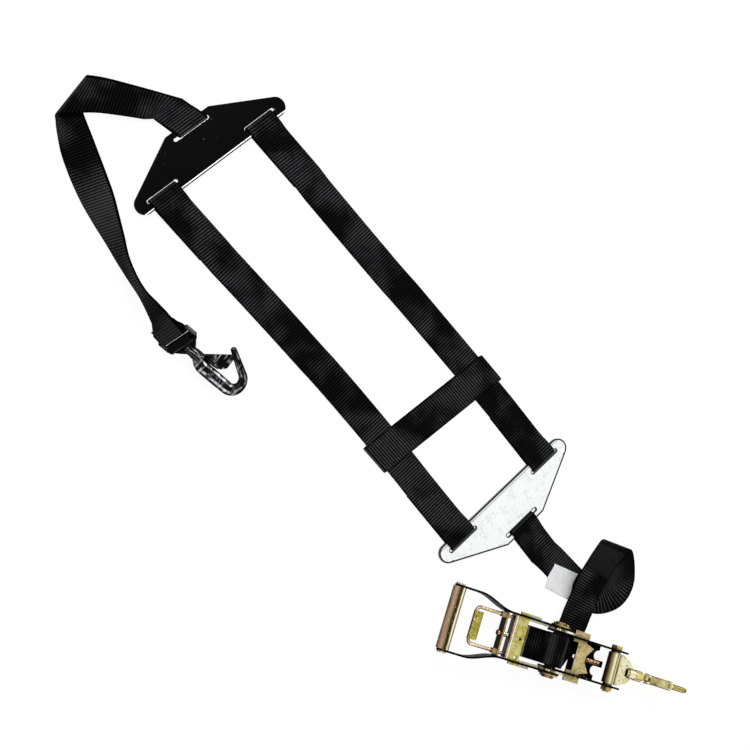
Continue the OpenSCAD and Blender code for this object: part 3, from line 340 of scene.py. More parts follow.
class Value:
    """A socket of a node tree that reads like a number in a formula."""
    __add__, __radd__ = both_ways("ADD")
    __sub__, __rsub__ = both_ways("SUBTRACT")
    __mul__, __rmul__ = both_ways("MULTIPLY")
    __truediv__, __rtruediv__ = both_ways("DIVIDE")
    __pow__, __rpow__ = both_ways("POWER")

    def __init__(self, tree, socket):
        self.tree, self.socket = tree, socket

    def math(self, operation, *values, **more):
        """A Math node."""
        return self.tree.node("Math", {"operation": operation, **more}, dict(enumerate(values)))

    def __neg__(self):
        return self * -1.0

    def __abs__(self):
        return self.math("ABSOLUTE", self)

    def sin(self):
        """The sine, of an angle in radians."""
        return self.math("SINE", self)

    def at_most(self, other):
        """The lesser of two."""
        return self.math("MINIMUM", self, other)

    def at_least(self, other):
        """The greater of two."""
        return self.math("MAXIMUM", self, other)

    def clamp(self):
        """Kept from 0 to 1."""
        return self.math("ADD", self, 0.0, use_clamp=True)

    def ease(self, low, high):
        """0 below low, 1 above high, smooth between."""
        sockets = {"Value": self, "From Min": low, "From Max": high}
        return self.tree.node("MapRange", {"interpolation_type": "SMOOTHSTEP"}, sockets, "Result")

    def band(self, low, full, fade, high):
        """1 between full and fade, 0 below low and above high, smooth between."""
        return self.ease(low, full) * (1 - self.ease(fade, high))


class Tree:
    """A node tree that is written as formulas."""

    def __init__(self, tree):
        self.tree = tree

    def node(self, kind, settings=None, values=None, out=0):
        """Any node: its type, its settings, the values of its sockets, and the output that is wanted."""
        node = self.tree.nodes.new("ShaderNode" + kind)
        settings = dict(settings or {})
        for spot, (place, colour) in enumerate(settings.pop("stops", ())):
            stop = node.color_ramp.elements[spot] if spot < 2 else node.color_ramp.elements.new(place)
            stop.position, stop.color = place, tuple(colour) + (1.0,)
        for key, value in settings.items():
            setattr(node, key, value)
        for key, value in (values or {}).items():
            self.plug(value, node.inputs[key])
        return Value(self, node.outputs[out])

    def plug(self, value, slot):
        """Puts a number, a colour or another node's output into a socket."""
        if isinstance(value, Value):
            self.tree.links.new(value.socket, slot)
        elif slot.type == "RGBA" and len(value) == 3:
            slot.default_value = tuple(value) + (1.0,)
        else:
            slot.default_value = value

    def place(self):
        """Object coordinates, which on these pieces are the set's own frame in metres."""
        return self.node("TexCoord", out="Object")

    def parts(self, vector):
        """The x, y and z, or u, v and 0, of a vector."""
        split = self.node("SeparateXYZ", values={0: vector})
        return [Value(self, output) for output in split.socket.node.outputs]

    def set_down(self, at, degrees):
        """Coordinates in metres from a point of the set in mm, with x turned by degrees."""
        origin = (np.append(at, 0.0)[:3] - MIDDLE) * MM
        moved = self.node("VectorMath", {"operation": "SUBTRACT"}, {0: self.place(), 1: tuple(origin)})
        sockets = {"Vector": moved, "Angle": math.radians(-degrees)}
        return self.node("VectorRotate", {"rotation_type": "Z_AXIS"}, sockets)

    def upward(self):
        """How far a face looks up or down: 0 on a wall, 1 on a level face."""
        return abs(self.parts(self.node("TexCoord", out="Normal"))[2])

    def open_air(self, reach):
        """1 on an open face, down to 0 in a narrow gap."""
        return self.node("AmbientOcclusion", {"samples": 6}, {"Distance": reach}, "AO")

    def noise(self, scale, detail=4.0, stretch=(1, 1, 1), degrees=0.0, where=None):
        """Noise from 0 to 1 about 0.5, stretched and turned."""
        rotation = (0, 0, math.radians(degrees))
        sockets = {"Vector": where or self.place(), "Rotation": rotation, "Scale": stretch}
        at = self.node("Mapping", values=sockets)
        return self.node("TexNoise", values={"Scale": scale, "Detail": detail, "Vector": at})

    def blend(self, factor, a, b):
        """a (1 - factor) + b factor, for colours."""
        return self.node("Mix", {"data_type": "RGBA"}, {0: factor, 6: a, 7: b}, 2)


class Paint(Tree):
    """One material under construction."""

    def __init__(self, name):
        self.mat = bpy.data.materials.new("paint_" + name)
        self.mat.use_nodes = True
        super().__init__(self.mat.node_tree)
        self.shader = self.tree.nodes["Principled BSDF"]

    def finish(self, height=None, depth=0.0, **sockets):
        """Puts the formulas on the shader, and the height through a bump."""
        for key, value in sockets.items():
            self.plug(value, self.shader.inputs[key.replace("_", " ")])
        if height is not None:
            bump = self.node("Bump", values={"Distance": depth, "Height": height})
            self.plug(bump, self.shader.inputs["Normal"])
        return self.mat


def webbing_paint(s):
    """Ribs across the strap, h = |sin(pi v / p)|, with fine warp threads and two plain selvages.

    The ribs carry painted sheen in their colour, in slow patches, and a painted highlight
    where the strap bends up.
    """
    p = Paint("webbing")
    u, v, _ = p.parts(p.node("TexCoord", out="UV"))
    rib = abs((v * (math.pi / (s.rib_pitch * MM))).sin())
    warp = abs((u * (math.pi / 0.0013)).sin())
    inside = u.at_most(WEB * MM - u).ease(0.0006, 0.0022)
    # painted sheen: the ribs are lighter in slow patches
    lit = (p.noise(9, 2) * 0.6 + p.noise(28, 2) * 0.4).ease(0.42, 0.6)
    fine = p.noise(420, 2)
    # painted highlight on sloping faces, where the strap bends up over a roll
    bend_highlight = p.upward().band(0.25, 0.55, 0.75, 0.97) * (0.14 + 0.3 * rib)
    # light is the painted sheen and highlight, put into the base colour
    light = rib ** 3.5 * inside * (0.12 + 0.88 * lit) * (0.1 + 1.5 * fine) + bend_highlight * inside
    colour = p.blend(light.clamp(), s.webbing_dark, s.webbing_sheen)
    height = rib ** 2.0 * inside * 0.85 + warp * 0.12 + fine * 0.2
    return p.finish(height, 0.0006, Base_Color=colour, Roughness=0.5, Specular_IOR_Level=0.006)


def cloth_paint(name, dark, light, rough, gloss=0.2):
    """Close cloth: threads as two crossed waves, with soft creases in height, and in colour as painted
    shade.
    """
    p = Paint(name)
    u, v, _ = p.parts(p.node("TexCoord", out="UV"))
    threads = abs((u * (math.pi / 0.0007)).sin()) * abs((v * (math.pi / 0.0007)).sin())
    # painted shade: the creases darken and lighten the colour
    crease = p.noise(70, 3).ease(0.3, 0.7)
    colour = p.blend((0.35 * threads + 0.65 * crease).clamp(), dark, light)
    height = threads * 0.3 + crease
    return p.finish(height, 0.0006, Base_Color=colour, Roughness=rough, Specular_IOR_Level=gloss)


def thread_paint(s):
    """Twisted sewing thread."""
    p = Paint("thread")
    twist = p.noise(1500, 2)
    colour = p.blend(twist, s.webbing_dark, s.thread)
    return p.finish(Base_Color=colour, Roughness=0.6, Specular_IOR_Level=0.05)


def plate_edges(p, base, turn):
    """Distances on a spreader plate in mm: to its outline, to its slots' rims and to its base line.

    The outline is the least of the base line x + r, the apex h - x, the slanted side c - n . (x, |y|)
    and, past its centre, the round end r - |(x, |y| - span / 2)|. A slot is the distance to its
    middle line less half its width.
    """
    x, y, _ = p.parts(p.set_down(base, turn))
    x, y = x * 1000.0, abs(y * 1000.0)
    beyond = (y - PLATE_SPAN / 2).at_least(0.0)
    far = 200.0 * (1 - beyond.ease(0.0, 0.01))
    end = END_R - (x * x + beyond * beyond) ** 0.5 + far
    base_line = x + END_R
    slanted = SIDE_AT - (SIDE_X * x + SIDE_Y * y)
    rim = base_line.at_most(APEX_H - x).at_most(slanted).at_most(end)
    along = (abs(y - SLOT_MID) - SLOT_HALF).at_least(0.0)
    outer = (x * x + along * along) ** 0.5 - SLOT_W / 2
    up, wide = x - (APEX_H - APEX_BAR - SLOT_W / 2), (y - APEX_SLOT_HALF).at_least(0.0)
    return rim, outer.at_most((up * up + wide * wide) ** 0.5 - SLOT_W / 2), base_line


def black_plate(s):
    """Deep black gloss with faint dust, and a painted highlight as a thin line just inside the base edge."""
    p = Paint("black_plate")
    _, slots, base_line = plate_edges(p, HEAD_BASE, HEAD_TURN + 180)
    dust = p.noise(60, 6).ease(0.62, 0.85)
    # painted highlight: the thin bright line along the base edge, broken up in patches
    highlight_breakup = p.noise(120, 3).ease(0.28, 0.42)
    line = base_line.band(1.8, 2.1, 3.2, 3.5) * (0.5 + 0.5 * highlight_breakup)
    specks = p.noise(190, 5).ease(0.74, 0.78) * 0.4
    chipped = (1 - slots.ease(0.3, 0.9)) * p.noise(160, 3).ease(0.55, 0.62) * 0.6
    bare_and_highlight = line.at_least(specks).at_least(chipped)
    colour = p.blend(bare_and_highlight, p.blend(dust * 0.3, s.black_paint, (0.006, 0.006, 0.007)), (0.8, 0.8, 0.82))
    rough = 0.3 + 0.2 * dust + 0.1 * bare_and_highlight
    return p.finish(p.noise(300, 2) - bare_and_highlight, 0.00004, Base_Color=colour, Metallic=bare_and_highlight * 0.7,
                    Roughness=rough, Specular_IOR_Level=0.015)


def black_paint(s):
    """Black paint on pressed steel, with chips and rubbed specks."""
    p = Paint("frame_paint")
    chips = p.noise(240, 5).ease(0.64, 0.72)
    dust = p.noise(45, 5).ease(0.5, 0.8)
    paint = p.blend(dust * 0.4, s.black_paint, (0.012, 0.012, 0.013))
    colour = p.blend(chips * 0.6, paint, (0.4, 0.36, 0.28))
    return p.finish(p.noise(380, 3) - chips * 0.5, 0.00006, Base_Color=colour, Metallic=chips * 0.5,
                    Roughness=0.34 + 0.2 * dust, Specular_IOR_Level=0.01)


def bright_plate(s):
    """Bright steel with a few fine scratches and stains, and painted shade on rims, walls and a base line.
    """
    p = Paint("bright_plate")
    rim, slots, base_line = plate_edges(p, FOOT_BASE, FOOT_TURN)
    where = p.set_down(FOOT_BASE, FOOT_TURN)
    clouds = p.noise(22, 6, where=where).ease(0.45, 0.8)
    scratches = p.noise(60, 7, stretch=(7, 0.6, 1), degrees=38, where=where).ease(0.6, 0.7)
    fine = p.noise(90, 8, where=where).band(0.56, 0.62, 0.62, 0.68)
    stains = (1 - slots.ease(0.5, 26.0)) * p.noise(120, 6, stretch=(0.5, 3, 1), where=where).ease(0.5, 0.7)
    # painted shade: walls, rims at the outline and round the slots, and a line along the base are darkened
    walls = 1 - p.upward().ease(0.2, 0.8)
    edge_shade = (1 - rim.ease(2.0, 2.9)).at_least(1 - slots.ease(1.0, 1.9)).at_least(walls)
    groove_shade = base_line.band(3.9, 4.3, 5.0, 5.5) * 0.7
    marks = (scratches * 0.12 + fine * 0.18 + stains * 0.3 + clouds * 0.04).clamp()
    sheet = p.blend(marks, s.steel, (0.2, 0.2, 0.21))
    colour = p.blend(edge_shade.at_least(groove_shade), sheet, (0.006, 0.006, 0.007))
    return p.finish(-marks, 0.0001, Base_Color=colour, Metallic=0.6, Roughness=0.26 + 0.16 * clouds)


# Painted shade in the gaps and on the walls of plated pieces, and the warm tint of their sheen
PAINTED_SHADE = (0.02, 0.014, 0.006)
WARM_SHEEN = (0.4, 0.36, 0.3)


def plated(p, base, second):
    """Passivated zinc: two tints in clouds, green specks, painted reflection as bright grains, dark spots.
    """
    clouds = p.noise(85, 4).ease(0.4, 0.62)
    tint = p.blend(clouds, base, second)
    tint = p.blend(p.noise(300, 4).ease(0.52, 0.7) * 0.55, tint, (0.1, 0.1, 0.02))
    # painted reflection: bright grains as glints, dark spots as reflected dark surroundings
    tint = p.blend(p.noise(420, 4, degrees=30).ease(0.56, 0.7) * 0.7, tint, (0.95, 0.86, 0.5))
    tint = p.blend(p.noise(230, 5, degrees=70).ease(0.58, 0.7) * 0.7, tint, (0.05, 0.035, 0.02))
    # painted shade: walls and narrow gaps take the shade colour
    return p.blend(p.upward().ease(0.25, 0.85) * p.open_air(0.01).ease(0.25, 0.85), PAINTED_SHADE, tint)


def zinc(name, base, second, rough):
    """Passivated zinc on sheet and wire."""
    p = Paint(name)
    grain = p.noise(520, 4)
    return p.finish(grain, 0.00014, Base_Color=plated(p, base, second), Metallic=0.85,
                    Roughness=rough + 0.18 * grain, Specular_Tint=WARM_SHEEN)


def banded_tube(name, middle, radius, stops, rough, plate_from=None, plate=None):
    """Zinc on a tube that lies across the ratchet: streaks along it, and painted reflection as tones
    from one side to the other.

    The tone is a ramp over (a - middle) / 2r + 1/2 with a slow wobble along the tube; beyond
    plate_from the sheet has its own tint.
    """
    p = Paint(name)
    where = p.set_down(DRUM[:2], RATCHET_TURN)
    a = p.parts(where)[0]
    wobble = p.noise(30, 3, where=where) - 0.5
    across = (a * 1000.0 - (middle - radius)) / (2 * radius) + 0.1 * wobble
    # painted reflection: bright and dark bands across the tube
    tone = p.node("ValToRGB", {"stops": stops}, {0: across})
    streak = p.noise(160, 3, stretch=(4, 0.12, 4), where=where).ease(0.5, 0.66)
    tone = p.blend(streak * 0.5, tone, (0.07, 0.05, 0.03))
    # painted glints: bright specks
    tone = p.blend(p.noise(380, 4).ease(0.6, 0.72) * 0.6, tone, (0.75, 0.72, 0.4))
    if plate is not None:
        sheet = (a * 1000.0).ease(plate_from, plate_from + 1.5)
        tone = p.blend(sheet, tone, plated(p, plate, (0.86, 0.8, 0.56)))
    grain = p.noise(520, 4)
    # painted shade in narrow gaps
    tone = p.blend(p.open_air(0.008).ease(0.2, 0.8), PAINTED_SHADE, tone)
    return p.finish(grain, 0.0001, Base_Color=tone, Metallic=0.85,
                    Roughness=rough + 0.14 * grain, Specular_Tint=WARM_SHEEN)


def drive_pawl_paint(s):
    """Yellow zinc with painted light: a paler lip, a highlight at the fold, the rear wall shaded brown."""
    p = Paint("pawl_zinc")
    a = p.parts(p.set_down(DRUM[:2], RATCHET_TURN))[0] * 1000.0
    # painted shade turns the rear wall brown; painted light makes the lip paler and the fold bright
    rear, top = plated(p, s.brown, (0.5, 0.34, 0.28)), plated(p, s.yellow, (0.56, 0.52, 0.2))
    plate = p.blend(a.ease(-80.5, -80.0), rear, top)
    bend_highlight = a.band(-81.5, -80.8, -79.8, -79.0)
    lip = a.ease(-58.5, -57.0)
    colour = p.blend(lip * 0.8, p.blend(bend_highlight * 0.9, plate, (0.95, 0.9, 0.7)), (0.5, 0.48, 0.4))
    grain = p.noise(520, 4)
    return p.finish(grain, 0.00014, Base_Color=colour, Metallic=0.85, Roughness=0.24 + 0.18 * grain)


def polished(name, stops, rough, stripe_glints=0.0):
    """Polished metal: painted reflection as long bands that follow its form,
    as a ramp over how far the face looks up.

    Stripe glints are painted reflections: bright stripes across the lead hook.
    """
    p = Paint(name)
    band = p.upward() + 0.18 * (p.noise(70, 3) - 0.5)
    tone = p.node("ValToRGB", {"stops": stops}, {0: band})
    grain = p.noise(420, 3)
    if stripe_glints:
        where = p.set_down(LEAD_EYE, LEAD_HEADING)
        stripe = p.noise(210, 2, stretch=(1, 0.12, 0.12), where=where).ease(0.56, 0.64)
        tone = p.blend(stripe * p.noise(60, 2).ease(0.36, 0.5) * stripe_glints, tone, (0.6, 0.6, 0.61))
    # painted shade in narrow gaps, with darker grain
    gaps = 1 - p.open_air(0.005).ease(0.15, 0.7)
    shade = p.blend(gaps.at_least(grain.ease(0.5, 0.7) * 0.4), tone, stops[0][1])
    return p.finish(grain, 0.00005, Base_Color=shade, Metallic=0.9,
                    Roughness=rough + 0.12 * grain, Specular_Tint=(0.25, 0.24, 0.22))


# ---------- painted reflections, as tones by place on a ramp ---
# On polished metal from a wall (0) to a level face (1)
DARK_REFLECTION_BANDS = (
    (0, (0.002, 0.002, 0.002)), (0.34, (0.003, 0.003, 0.003)), (0.4, (0.16, 0.16, 0.165)),
    (0.45, (0.005, 0.005, 0.005)), (0.64, (0.003, 0.003, 0.003)), (0.69, (0.03, 0.03, 0.03)),
    (0.72, (0.3, 0.3, 0.31)), (0.75, (0.006, 0.006, 0.006)), (0.89, (0.004, 0.004, 0.004)),
    (0.93, (0.02, 0.02, 0.02)), (0.952, (0.28, 0.28, 0.29)), (0.97, (0.01, 0.01, 0.01)),
    (1, (0.004, 0.004, 0.004)),
)
STEEL_REFLECTION_BANDS = (
    (0, (0.02, 0.015, 0.01)), (0.3, (0.2, 0.16, 0.1)), (0.5, (0.75, 0.7, 0.55)), (0.62, (0.12, 0.09, 0.05)),
    (0.8, (0.5, 0.42, 0.26)), (0.92, (0.9, 0.86, 0.74)), (1, (0.4, 0.34, 0.2)),
)
GOLD_REFLECTION_BANDS = (
    (0, (0.03, 0.02, 0.01)), (0.2, (0.35, 0.27, 0.08)), (0.32, (0.9, 0.85, 0.55)),
    (0.42, (0.12, 0.09, 0.03)), (0.55, (0.5, 0.4, 0.1)), (0.7, (0.9, 0.8, 0.4)),
    (0.8, (0.12, 0.08, 0.02)), (0.9, (0.62, 0.5, 0.16)), (1, (0.8, 0.68, 0.28)),
)
COPPER_REFLECTION_BANDS = ((0, (0.02, 0.01, 0.005)), (0.6, (0.3, 0.14, 0.06)), (1, (0.75, 0.45, 0.25)))
# On a tube across the ratchet, from its handle side (0) to its anchor side (1)
GRIP_REFLECTION_BANDS = (
    (0, (0.16, 0.08, 0.05)), (0.12, (0.5, 0.34, 0.22)), (0.28, (0.26, 0.17, 0.08)),
    (0.38, (0.012, 0.01, 0.004)), (0.56, (0.05, 0.045, 0.01)), (0.62, (0.98, 0.92, 0.7)),
    (0.76, (0.9, 0.76, 0.46)), (0.8, (0.05, 0.03, 0.015)), (0.87, (0.85, 0.7, 0.44)), (1, (0.1, 0.06, 0.03)),
)
BARREL_REFLECTION_BANDS = (
    (0, (0.02, 0.015, 0.01)), (0.14, (0.2, 0.12, 0.08)), (0.26, (0.42, 0.38, 0.1)),
    (0.36, (1.0, 0.97, 0.78)), (0.46, (0.2, 0.2, 0.04)), (0.56, (0.8, 0.72, 0.36)),
    (0.64, (0.06, 0.04, 0.02)), (0.72, (0.72, 0.48, 0.38)), (0.82, (0.3, 0.2, 0.08)), (1, (0.9, 0.85, 0.58)),
)


# ---------- listed routes: (left edge, right edge) in millimetres -------------
LEAD = [
    ((-503, -16, 8), (-525, 23, 9)), ((-526, -38, 10), (-549, 4, 12)),
    ((-553, -66, 12), (-578, -19, 14)), ((-576, -98, 12), (-595, -34, 12)),
    ((-584, -108, 7), (-598, -38, 7.5)), ((-578, -113, 2.5), (-590, -50, 3)),
    ((-567, -121, 1.5), (-570, -71, 2)), ((-543, -136, 1.5), (-529, -88, 3)),
    ((-521, -146, 1.5), (-503, -99, 6)), ((-494, -156, 1.5), (-477, -111, 13)),
    ((-467, -164, 1.5), (-450, -126, 28)), ((-438, -170, 1.5), (-424, -143, 41)),
    ((-408, -175, 1.5), (-398, -159, 48)), ((-378, -181, 1.5), (-373, -174, 51)),
    ((-348, -186, 1.5), (-345, -184, 51.4)), ((-322, -190, 1.5), (-322, -188, 51.5)),
    ((-301, -196, 2.5), (-303, -187, 52)), ((-281, -203, 4.5), (-284, -186, 51.5)),
]
STRAP = [
    ((412, 47.5, 1.25), (412, -2.5, 1.25)), ((456, 50, 1.25), (458, 0, 1.25)),
    ((474, 51, 1.5), (491, 4, 1.6)), ((487, 52, 2), (514, 10, 2.6)),
    ((494, 54, 2.4), (531, 20, 5)), ((498, 58, 3), (543, 37, 9)),
    ((499, 63, 4), (548, 55, 14)), ((497, 70, 6), (545, 75, 19)),
    ((487, 80, 11), (533, 96, 24)), ((466, 92, 20), (512, 114, 28)),
    ((447, 99, 28), (495, 124, 30.5)), ((440, 99, 31.5), (488, 123, 33)),
    ((438, 92, 33.5), (486, 112, 34)), ((443, 66, 31), (491, 80, 29)),
    ((454, 33, 23), (502, 49, 20)), ((466, 12, 16), (514, 29, 13)),
    ((479, -13, 7.5), (526, 7, 6.5)), ((491, -33, 1.6), (537, -13, 1.5)),
    ((497, -55, 1.25), (543, -37, 1.25)), ((500, -82, 1.6), (546, -62, 1.25)),
    ((502, -104, 7), (548, -84, 1.25)),
]
# The lead hook's swivel, the way its bracket points, and the link behind it
LEAD_EYE = np.array([-205.2, -188.2, 20.3])
LEAD_HEADING, LEAD_SLOPE, LEAD_ROLL = 10.0, 9.4, 55.0
LEAD_REACH, LINK_L, LINK_R = 31.0, 15.5, 3.2
# Points from one listed station to the next, and the station at which the patch starts
STEPS, PATCH_AT = 6, 12


def turned(axis, degrees):
    """Rotation matrix about a coordinate axis."""
    return np.array(Matrix.Rotation(math.radians(degrees), 3, axis))


def lead_points(local):
    """Points of the lead bracket's frame in the set's frame."""
    spin = turned("Z", LEAD_HEADING) @ turned("Y", LEAD_SLOPE) @ turned("X", LEAD_ROLL)
    return LEAD_EYE + np.asarray(local, float) @ spin.T


def ratchet_points(local):
    """Points of the ratchet's frame (origin on the floor under the drum) in the set's frame."""
    return np.array([DRUM[0], DRUM[1], 0]) + np.asarray(local, float) @ turned("Z", RATCHET_TURN).T


def across_ratchet(side):
    """Rails of a strap that lies square across the ratchet, from its side view (along, height)."""
    ways = (np.full(len(side), edge) for edge in (WEB / 2, -WEB / 2))
    return [ratchet_points(np.stack([side[:, 0], way, side[:, 1]], axis=1)) for way in ways]


def lead_strap():
    """Rails of the lead strap: plate loop, fold, rise on to one edge, loop round the link."""
    apex = on_plate(HEAD_BASE, HEAD_TURN, -1, APEX_H, 0)
    start = laid(bar_loop(APEX_BAR, LEAD_TAIL), apex, HEAD_TURN + 180, 18)
    run = smooth(LEAD, STEPS).transpose(1, 0, 2)
    back = -LEAD_REACH - LINK_L
    r = LINK_R + SKIN + T / 2
    side = [(back - 16, LAYER_2 / 2 + 0.4), (back - 6, r - 0.4)]
    side += [tuple(polar(r, a) + (back, 0)) for a in np.arange(90, -91, -15)]
    side += [(back - 6, 0.4 - r), (back - 14, -1), (back - 22, -0.6)]
    end = [lead_points([(x, y, z) for x, z in side]) for y in (-WEB / 2, WEB / 2)]
    return [np.vstack([start[k], run[k], end[k]]) for k in (0, 1)]


def ratchet_strap():
    """Rails of the ratchet strap: plate loop, flat run, turned-over loop and the run under the frame."""
    apex = on_plate(FOOT_BASE, FOOT_TURN, 1, APEX_H, 0)
    start = laid(bar_loop(APEX_BAR, RATCHET_TAIL), apex, FOOT_TURN)
    run = smooth(STRAP, STEPS).transpose(1, 0, 2)
    return [np.vstack([start[k], run[k]]) for k in (0, 1)]


def cross_strap():
    """Rails of the flat loop round both long straps."""
    y_mid = (lane(1, 0.855)[1] + lane(-1, 0.855)[1]) / 2
    r, half = CROSS_IN + T / 2, SLOT_MID + WEB / 2 + 0.5
    turn = [tuple(polar(r, a) + (half, 0)) for a in np.arange(-90, 91, 15)]
    ring = turn + [(y, r) for y in np.linspace(half, -half, 14)[1:-1]]
    ring += [(-y, -z) for y, z in turn] + [(y, -r) for y in np.linspace(-half, half, 14)[1:-1]]
    ring = np.array(ring)
    x = CROSS_X + ring[:, 0] * math.tan(math.radians(CROSS_SLANT))
    y, z = y_mid + ring[:, 0], T + CROSS_IN + ring[:, 1]
    return [np.stack([x + s * WEB / 2, y, z], axis=1) for s in (-1, 1)]


def drum_roll():
    """Rails of the webbing on the drum: three turns of an outward spiral r = r0 + p turns."""
    degrees = np.arange(0, 1081, 6.0)
    r = CORE_R + ROLL_PITCH * degrees / 360 + ROLL_T / 2
    a = np.radians(70 - degrees)
    return across_ratchet(np.stack([r * np.cos(a), DRUM[2] + r * np.sin(a)], axis=1))


def cut(rails, first, last, inset=0.0):
    """The stations first to last of a strap, drawn in from both edges by a share of its width."""
    left, right = (np.asarray(rail)[first:last + 1] for rail in rails)
    return [left + inset * (right - left), right + inset * (left - right)]


def tag_rails():
    """The folded label, from the strap outwards, with two soft creases and a lifted free end.

    Its height is z0 + 0.3 |sin(5 t) sin(3 t + phase)|, and the right edge rises by 0.5 t more.
    """
    t = np.linspace(0, 1, 26)[:, None]
    rails = []
    for start, end, phase, lift in (((419, 21), (434, -17), 1.0, 0.0), ((460, 39), (478, -1), 2.2, 0.5)):
        straight = np.array(start) + t * (np.array(end) - np.array(start))
        plan = straight + np.array([1.2, 0.6]) * np.sin(7 * t + phase)
        crease = 0.3 * np.abs(np.sin(5 * t) * np.sin(3 * t + phase))
        rails.append(np.hstack([plan, T + 0.75 + crease + lift * t]))
    return rails


def strap_end():
    """Rails of the strap's free end, from below the roll down to the floor."""
    side = [(-11, 9.7), (-15, 9.9), (-20, 9.2), (-27, 6.4), (-34, 4.2), (-41, 1.9), (-48, LAYER_1)]
    return across_ratchet(smooth(side, 4))


# ---------- settings ----------
def colour_of(name, about, value):
    """A colour setting."""
    return bpy.props.FloatVectorProperty(
        name=name, description=about, subtype="COLOR", size=3, min=0, max=1, default=value)


def length_of(name, about, value, low, high):
    """A length setting, in mm."""
    return bpy.props.FloatProperty(name=name, description=about, default=value, min=low, max=high)


class TieDownSettings(bpy.types.PropertyGroup):
    """The set's sizes, tints and light"""
    rib_pitch: length_of("Rib pitch", "From rib to rib of the webbing, in mm", 4.3, 1, 8)
    stitch_pitch: length_of("Stitch length", "From stitch to stitch, in mm", 3.6, 2, 8)
    webbing_dark: colour_of("Webbing, dark", "Colour between the ribs", (0.0006, 0.0006, 0.0007))
    # painted sheen: the colour that the lit ribs take
    webbing_sheen: colour_of("Webbing, light", "Colour of the lit ribs", (0.07, 0.07, 0.073))
    thread: colour_of("Thread", "Colour of the stitches", (0.012, 0.012, 0.013))
    black_paint: colour_of("Black paint", "Head plate, frame and handle", (0.0012, 0.0012, 0.0014))
    steel: colour_of("Bright steel", "Foot plate", (0.95, 0.955, 0.96))
    yellow: colour_of("Yellow zinc", "Yellow tint of the plated parts", (0.42, 0.35, 0.06))
    brown: colour_of("Brown zinc", "Brown tint of the plated parts", (0.34, 0.2, 0.12))
    key_power: bpy.props.FloatProperty(
        name="Key light", description="Power of the large soft light", default=36, min=0, unit="POWER")


def settings():
    """The add-on's settings of the open scene."""
    return bpy.context.scene.tie_down


def paint_of(name):
    """A finished material by name."""
    return bpy.data.materials["paint_" + name]


def lay(name, rails, body, node, thickness=T, ring=False, lift=0.0, finish="webbing"):
    """One strap or patch in its place, on its body, with the solid that it stands for hidden."""
    obj, width, length = webbing(name, rails, paint_of(finish), thickness, ring, lift)
    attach(obj, body)
    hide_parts(node)
    return obj


def sew(name, rails, lines, body="set", ring=False):
    """The stitches of one strap."""
    obj = thread(name, rails, lines, paint_of("thread"), ring, settings().stitch_pitch)
    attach(obj, body)
    return obj


def slot_paints(s):
    """The finish of each material slot."""
    return {
        "webbing": webbing_paint(s),
        "patch": cloth_paint("patch", (0.0012, 0.0012, 0.0014), (0.004, 0.004, 0.0046), 0.5, 0.08),
        "tag": cloth_paint("tag", (0.88, 0.88, 0.9), (1.0, 1.0, 1.0), 0.6),
        "black_plate": black_plate(s),
        "bright_plate": bright_plate(s),
        "frame_paint": black_paint(s),
        "yellow_zinc": zinc("yellow_zinc", s.yellow, (0.6, 0.44, 0.2), 0.24),
        "brown_zinc": zinc("brown_zinc", s.brown, (0.36, 0.26, 0.12), 0.26),
        "bright_steel": polished("bright_steel", STEEL_REFLECTION_BANDS, 0.2),
        "dark_steel": polished("dark_steel", DARK_REFLECTION_BANDS, 0.16),
    }


def own_paints(s):
    """The finish of each solid that differs from the others in its slot."""
    own = {
        "grip_tube": banded_tube("grip_zinc", GRIP_A, 10.3, GRIP_REFLECTION_BANDS, 0.2),
        "anchor_bracket": banded_tube(
            "bracket_zinc", BARREL_A, 12.4, BARREL_REFLECTION_BANDS, 0.2, plate_from=119, plate=(0.78, 0.74, 0.42)),
        "anchor_spacer": banded_tube("spacer_zinc", BOLT_A, 7.6, BARREL_REFLECTION_BANDS, 0.22),
        "drive_pawl": drive_pawl_paint(s),
        "finger_tab": zinc("tab_zinc", (0.3, 0.26, 0.03), (0.46, 0.38, 0.08), 0.26),
        "release_pull": zinc("pull_zinc", (0.5, 0.3, 0.2), (0.66, 0.5, 0.34), 0.24),
        "locking_pawl": zinc("lock_zinc", (0.46, 0.4, 0.14), (0.6, 0.46, 0.26), 0.26),
        "locking_spring": polished("spring_copper", COPPER_REFLECTION_BANDS, 0.2),
        "lead_gate": polished("glint_striped_steel", DARK_REFLECTION_BANDS, 0.16, stripe_glints=0.9),
        "lead_hook": polished("hook_steel", DARK_REFLECTION_BANDS, 0.16, stripe_glints=0.35),
    }
    gold = polished("hook_gold", GOLD_REFLECTION_BANDS, 0.2)
    for piece in ("swivel_pin", "hook", "gate", "gate_pin", "gate_spring"):
        own["anchor_" + piece] = gold
    return own


class TIEDOWN_OT_finishes(bpy.types.Operator):
    """Make the finishes and put them on the solids that are shown as they are"""
    bl_idname = "tiedown.finishes"
    bl_label = "Finishes"

    def execute(self, context):
        s = settings()
        thread_paint(s)
        paints, own = slot_paints(s), own_paints(s)
        slots = {part["node"]: part["material_slot"] for part in frame["record"]["subparts"]}
        for node, obj in frame["nodes"].items():
            obj.data.materials.clear()
            obj.data.materials.append(own.get(node) or paints[slots[node]])
            obj.data.polygons.foreach_set("use_smooth", np.full(len(obj.data.polygons), True))
            obj.data.set_sharp_from_angle(angle=math.radians(SHARP))
        return {"FINISHED"}


